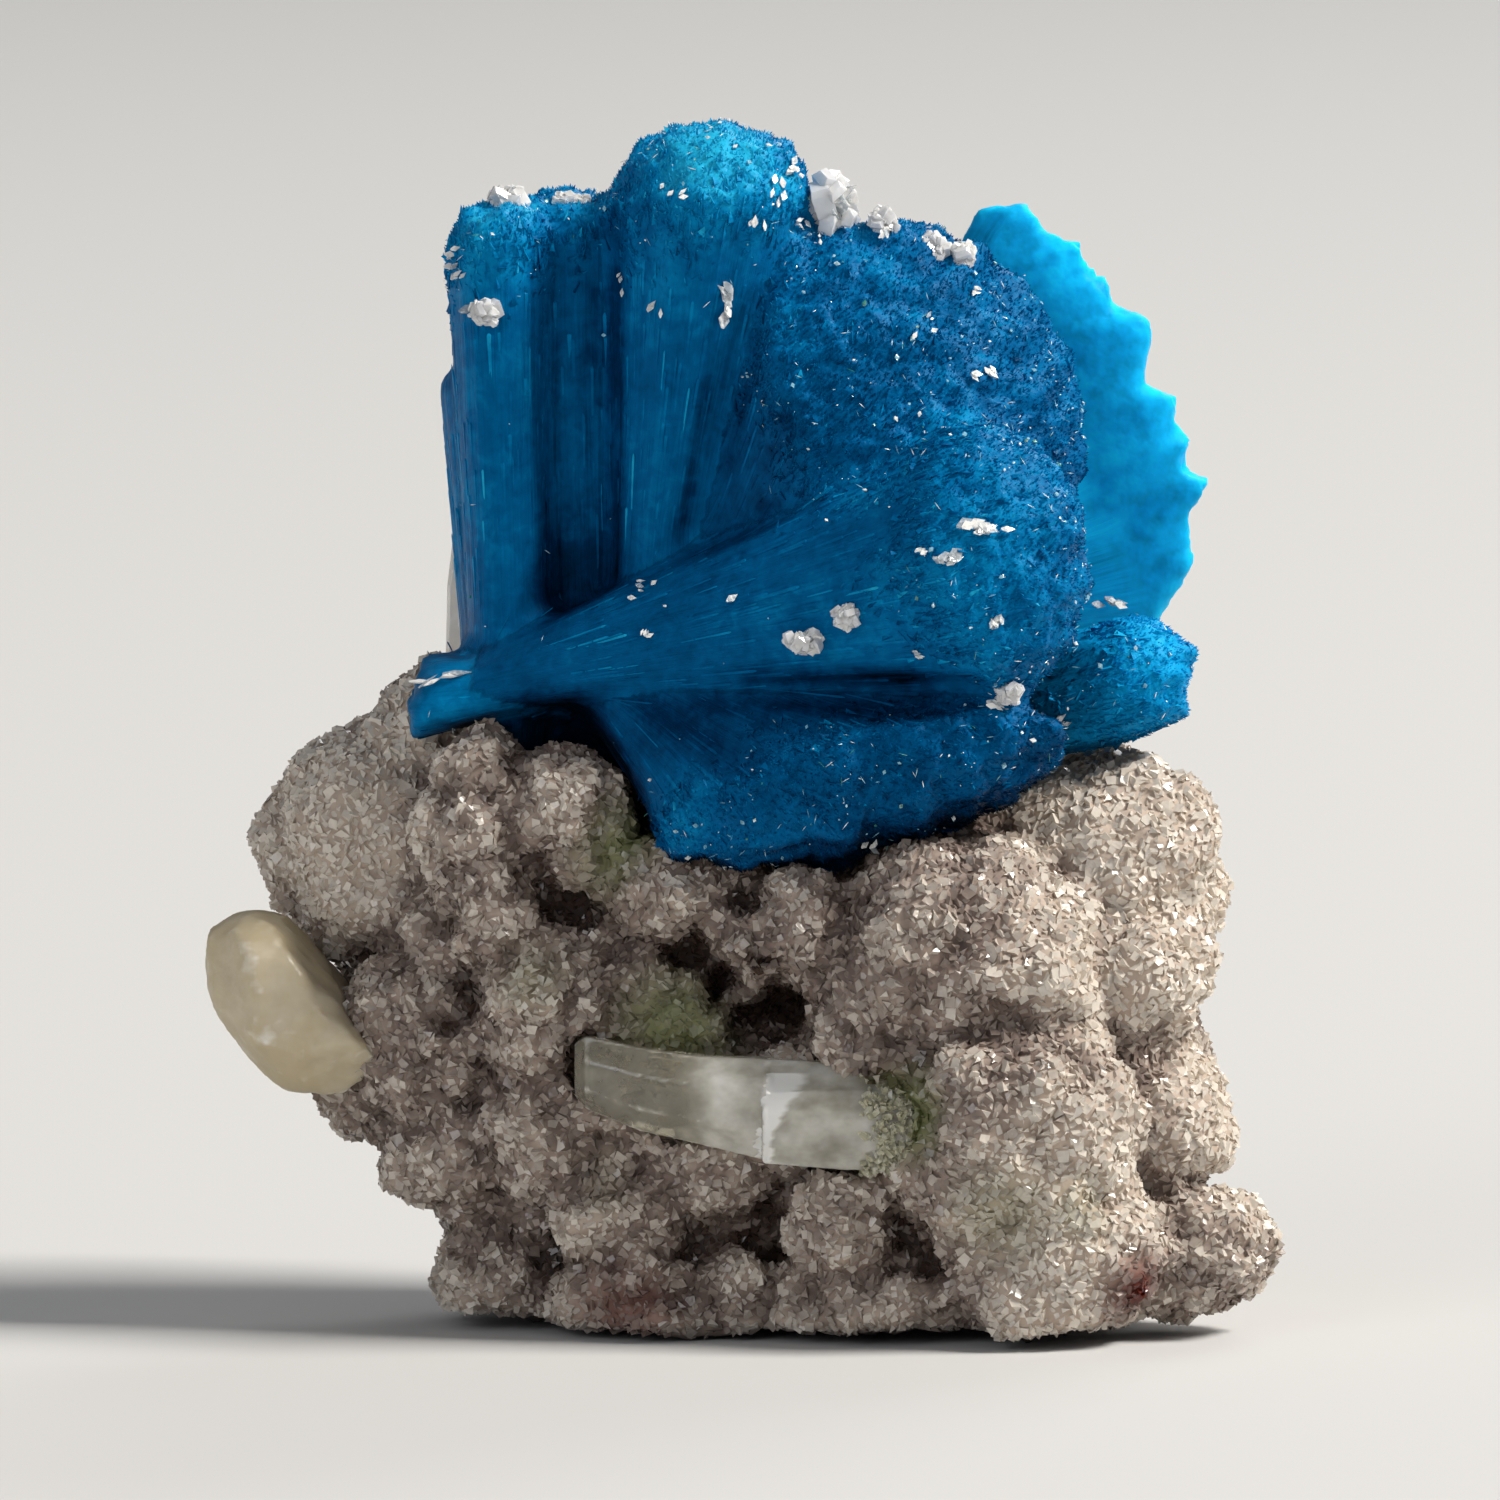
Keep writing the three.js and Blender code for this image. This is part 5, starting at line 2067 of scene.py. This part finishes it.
PLATES = tuple(
    PlateGroup(*row)
    for row in (
        ((-0.4, 25.4), (0.1, 0.35), 7, 0.6, 1.4), ((-6.5, 25.1), (0.3, 0.12), 5, 0.5, 0.3),
        ((-7.1, 26.5), (0.1, 0.25), 4, 0.35, 0.4), ((-1.5, 27.9), (0.3, 0.2), 3, 0.3, 0.5),
        ((0.9, 28.1), (0.25, 0.3), 5, 0.35, 1.0), ((1.5, 27.3), (0.3, 0.3), 4, 0.3, 0.2),
        ((-2.9, 25.9), (0.1, 0.25), 3, 0.25, 1.2), ((-2.1, 25.2), (0.2, 0.3), 3, 0.35, 1.0),
        ((3.6, 27.1), (0.2, 0.2), 4, 0.3, 0.8), ((6.1, 23.5), (0.2, 0.25), 6, 0.4, -0.6),
        ((5.9, 25.6), (0.3, 0.2), 4, 0.25, 0.2), ((4.6, 24.6), (0.4, 0.3), 3, 0.3, 0.9),
        ((5.9, 19.6), (0.45, 0.15), 8, 0.55, 0.35), ((5.2, 18.9), (0.4, 0.12), 7, 0.5, 0.3),
        ((4.4, 19.1), (0.15, 0.1), 3, 0.3, 0.2), ((6.2, 17.4), (0.15, 0.3), 6, 0.35, 1.2),
        ((4.4, 16.6), (0.2, 0.12), 4, 0.25, 0.1), ((6.3, 15.3), (0.18, 0.15), 5, 0.4, -0.4),
        ((8.0, 15.0), (0.15, 0.12), 4, 0.35, 0.6), ((-0.1, 17.9), (0.05, 0.05), 1, 0.45, 0.7),
        ((-2.4, 18.1), (0.3, 0.2), 5, 0.22, 0.5), ((-2.3, 17.1), (0.15, 0.2), 4, 0.2, 1.0),
        ((3.1, 11.9), (0.2, 0.15), 4, 0.3, 0.4), ((-7.6, 15.85), (0.15, 0.02), 3, 0.9, 0.2, 0.3),
        ((-7.1, 16.0), (0.15, 0.02), 3, 0.8, 0.3, 0.3), ((9.3, 17.9), (0.35, 0.12), 6, 0.4, 0.1),
        ((10.9, 23.4), (0.1, 0.2), 7, 0.5, 1.2), ((-6.95, 26.1), (0.15, 0.2), 4, 0.3, 0.8),
        ((1.3, 28.6), (0.25, 0.25), 6, 0.35, 0.6), ((0.4, 27.3), (0.15, 0.15), 3, 0.3, 1.2),
    )
)


@dataclass
class PerchedCrystals:
    """The white crystals on the spray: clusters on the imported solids, thin plates and specks."""

    per_cluster: int = 30
    elevation: float = 5.0
    speck_density: float = 6.5
    specks: int = 1900
    thin_share: float = 0.4
    thin_length: tuple[float, float] = (0.1, 0.28)
    thin_width: float = 0.022
    speck_size: float = 0.04
    speck_spread: float = 0.15
    green_share: float = 0.22
    thinnest: float = 0.03
    # The way a flake faces when it mirrors the key light to the camera
    glint: Vec3 = (0.45, -0.71, 0.54)
    # Waves across the spray that gather the specks
    drifts: tuple[Vec3, ...] = ((1.3, 0.7, 0.9), (-0.8, 0.5, 1.7), (2.6, 0.0, -1.9))
    seed: int = 21

    def clusters(self, nodes: Sequence[Object], beds: Sequence[CrystalBed], rng: np.random.Generator) -> None:
        """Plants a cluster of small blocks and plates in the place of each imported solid.

        Args:
            nodes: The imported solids.
            beds: Where the blocks and the plates go.
            rng: The source of chance.
        """
        for node in nodes:
            low, high = (np.array(c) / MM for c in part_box(node.name))
            middle, half = (low + high) / 2, (high - low) / 2
            for bed, count, slim in zip(beds, (self.per_cluster, self.per_cluster // 2), (0.7, 0.12)):
                away = unit(rng.normal(0, 1, (count, 3)))
                length = half.mean() * rng.uniform(0.5, 1.15, count)
                wide = length * rng.uniform(0.45, 0.9, count)
                spread = np.maximum(half * 1.08 - 0.45 * length[:, None], 0.1 * half)
                centre = middle + away * spread * rng.uniform(0.6, 1, (count, 1))
                way = unit(away * 0.5 + rng.normal(0, 0.7, (count, 3)))
                bed.plant(
                    centre - way * length[:, None] * 0.5,
                    (wide, wide * slim, length),
                    way=way,
                    flat=rng.normal(0, 1, (count, 3)),
                    frost=rng.uniform(0.2, 1.0, count),
                )

    def plates(self, skin: BVHTree, bed: CrystalBed, rng: np.random.Generator) -> None:
        """Lays the groups of thin plates on the skin where the front view shows them.

        Args:
            skin: The search tree of the spray's skins.
            bed: Where the plates go.
            rng: The source of chance.
        """
        tilt = math.radians(self.elevation)
        into = np.array([0.0, math.cos(tilt), -math.sin(tilt)])
        up = np.array([0.0, math.sin(tilt), math.cos(tilt)])
        right = np.array([1.0, 0.0, 0.0])
        for group in [group for group in PLATES for _ in range(group.count)]:
            away = rng.normal(0, 0.6, 2) * np.array(group.spread)
            seen = right * (group.at[0] + away[0]) + up * (group.at[1] + away[1]) - into * AWAY
            at, normal, _, _ = skin.ray_cast(Vector(seen), Vector(into))
            if at is None:
                continue
            at, normal = np.array(at), np.array(normal)
            lean = group.lean + rng.normal(0, 0.35)
            way = right * math.cos(lean) + up * math.sin(lean)
            facing = unit(normal * 0.5 + np.array(self.glint) * 0.8 + rng.normal(0, 0.16, 3))
            way = unit(way - facing * (way @ facing) + rng.normal(0, 0.08, 3))
            size = group.longest * rng.uniform(0.6, 1.1)
            wide = size * rng.uniform(0.35, 0.65) * group.slim
            bed.plant(
                (at + normal * rng.uniform(0.06, 0.16) - way * size * 0.5)[None],
                ([wide], [max(self.thinnest, size * 0.07)], [size]),
                way=way[None],
                flat=unit(np.cross(facing, way))[None],
                frost=np.array([rng.uniform(0.2, 1)]),
            )

    def sprinkle(self, skin: Object, beds: Sequence[CrystalBed], rng: np.random.Generator) -> None:
        """Sprinkles specks and short needles over the spray: most are white, some are green.

        Args:
            skin: The sheaves' skin with its marks.
            beds: Where the white and the green ones go.
            rng: The source of chance.
        """
        spots = SkinSpots.scatter(skin, ("cap",), self.speck_density, rng)
        ripple = sum(np.sin(spots.at @ np.array(wave) + 2) for wave in self.drifts)
        chance = (0.05 + 0.95 * spots.marks["cap"] ** 2) * np.clip(0.6 + 0.4 * ripple, 0.12, 1)
        chosen = rng.random(len(spots.at)) < chance
        spots = spots.only(chosen & (spots.normal[:, 1] < 0.3))
        spots = spots.only(np.arange(min(self.specks, len(spots.at))))
        count = len(spots.at)
        thin = rng.random(count) < self.thin_share
        length = rng.uniform(*self.thin_length, count)
        size = np.where(thin, length, self.speck_size + self.speck_spread * rng.random(count) ** 5)
        wide = np.where(thin, self.thin_width, size * 0.7)
        facing = unit(spots.normal * 0.5 + np.array(self.glint) * 0.7 + rng.normal(0, 0.35, (count, 3)))
        way = unit(rng.normal(0, 1, (count, 3)))
        way = unit(way - facing * (way * facing).sum(1)[:, None])
        foot = spots.at + spots.normal * (0.05 + 0.05 * rng.random((count, 1))) - way * size[:, None] * 0.5
        marks = {"way": way, "flat": np.cross(facing, way)}
        green = rng.random(count) < self.green_share
        for bed, part in zip(beds, (~green, green)):
            chosen_marks = {label: values[part] for label, values in marks.items()}
            sizes = (wide[part], wide[part] * 0.35, size[part])
            bed.plant(foot[part], sizes, **chosen_marks, frost=rng.random(int(part.sum())) ** 1.5)

    def build(self, nodes: Sequence[Object], spray: Object, skin: BVHTree) -> None:
        """Builds and dresses the clusters, the plates and the specks.

        Args:
            nodes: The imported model's perched crystals.
            spray: A copy of the sheaves' skin with its marks, in millimetres, which is used up.
            skin: The search tree of the spray's skins, in millimetres.
        """
        rng = np.random.default_rng(self.seed)
        clusters, plates, specks, green = (CrystalBed() for _ in range(4))
        self.clusters(nodes, (clusters, plates), rng)
        self.plates(skin, plates, rng)
        self.sprinkle(spray, (specks, green), rng)
        drop(spray)
        coat = ClearFinish("white_zeolite", "#ffffff", 0.22, 0.1, 0.4, subsurface=0.4, relief=0.01)
        flake = ClearFinish("zeolite_flakes", "#e2ecf2", 0.7, 0.07, 0.4, relief=0.01, haze=0.3)
        dust = ClearFinish("zeolite_specks", "#8fcfe6", 0.3, 0.12, 0.4, haze=0.2)
        tint = ClearFinish("green_zeolite", "#2f9d8c", 0.3, 0.2, 0.4)
        tree = crystal_tree()
        for name, bed, form, finish, replaced in (
            ("clusters", clusters, BLOCK, coat, [n.name for n in nodes]),
            ("plates", plates, KITE, flake, ()),
            ("specks", specks, KITE, dust, ()),
            ("green_specks", green, KITE, tint, ()),
        ):
            piece = bed.build(f"perched_{name}", form, tree, finish.material())
            finish_piece(piece, replaced)


@dataclass
class Studio:
    """The pale floor, the soft lights and the camera."""

    target: Vec3 = (0.25, 0.0, 14.25)
    elevation: float = 5.0
    distance: float = 400.0
    frame_width: float = 37.5
    sensor: float = 36.0
    floor_edge: float = 3000.0
    room_light: float = 0.2

    def floor(self) -> None:
        """Lays the pale floor."""
        edge = self.floor_edge
        corners = [(-edge, -edge, 0), (edge, -edge, 0), (edge, edge, 0), (-edge, edge, 0)]
        floor = mesh_object("floor", corners, [(0, 1, 2, 3)])
        floor.data.transform(Matrix.Scale(MM, 4))
        material, add = new_material("pale_floor")
        surface = {"Base Color": linear("#cfcfce"), "Roughness": 0.85}
        add("ShaderNodeOutputMaterial", (add("ShaderNodeBsdfPrincipled", surface),))
        floor.data.materials.append(material)

    def hang(self, name: str, data: bpy.types.ID, at: Vector) -> Object:
        """Hangs a lamp or a camera so that it faces the specimen.

        Args:
            name: The object's name.
            data: The lamp's or the camera's own data.
            at: Where it hangs, in millimetres.

        Returns:
            The linked object.
        """
        obj = link_object(name, data)
        obj.location = at * MM
        obj.rotation_euler = (Vector(self.target) - at).to_track_quat("-Z", "Y").to_euler()
        return obj

    def light(self, name: str, at: Vec3, size: float, power: float, colour: str) -> None:
        """Hangs a square soft light.

        Args:
            name: The light's name.
            at: Where it hangs, in millimetres.
            size: Its width in millimetres.
            power: Its power in watts.
            colour: Its colour.
        """
        lamp = bpy.data.lights.new(name, "AREA")
        lamp.energy, lamp.size, lamp.color = power, size * MM, linear(colour)[:3]
        self.hang(name, lamp, Vector(at))

    def camera(self) -> None:
        """Sets the camera at the photograph's viewing angle."""
        data = bpy.data.cameras.new("camera")
        data.sensor_width, data.lens = self.sensor, self.sensor * self.distance / self.frame_width
        data.clip_start, data.clip_end = 0.01, 10.0
        tilt = math.radians(self.elevation)
        back = Vector((0, -math.cos(tilt), math.sin(tilt)))
        bpy.context.scene.camera = self.hang("camera", data, Vector(self.target) + back * self.distance)

    def build(self) -> None:
        """Builds the studio."""
        self.floor()
        self.light("key", (1000, -120, 1100), 420, 30, "#fffaf3")
        self.light("fill", (-1200, -1600, 800), 1000, 8, "#f4f8ff")
        self.light("back", (600, 1300, 900), 700, 5.5, "#ffffff")
        world = bpy.data.worlds.new("room")
        world.use_nodes = True
        room = world.node_tree.nodes["Background"].inputs
        room["Color"].default_value, room["Strength"].default_value = linear("#e4e6ea"), self.room_light
        bpy.context.scene.world = world
        self.camera()
        bpy.context.scene.view_settings.view_transform = "Standard"


def main() -> None:
    """Builds the cluster in its frame, piece by piece."""
    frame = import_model()
    nodes = frame["nodes"]
    perched = [nodes[name] for name in sorted(nodes) if name.startswith("perched_crystal")]
    plain_rock = merged_copy(nodes["matrix_rock"], "plain_rock")
    plain_spray = merged_copy(nodes["cavansite_spray"], "plain_spray")
    MatrixRock().build(nodes["matrix_rock"], plain_spray)
    found, skin = CavansiteSpray().build(nodes["cavansite_spray"], plain_rock)
    drop(plain_rock, plain_spray)
    ClearStilbite().build(nodes["stilbite_prism"])
    CreamStilbite().build(nodes["cream_crystal"])
    WhiteBlade().build(nodes["white_blade"])
    PerchedCrystals().build(perched, skin, found)
    Studio().build()


if __name__ == "__main__":
    logging.basicConfig(level=logging.INFO, format="%(message)s")
    main()
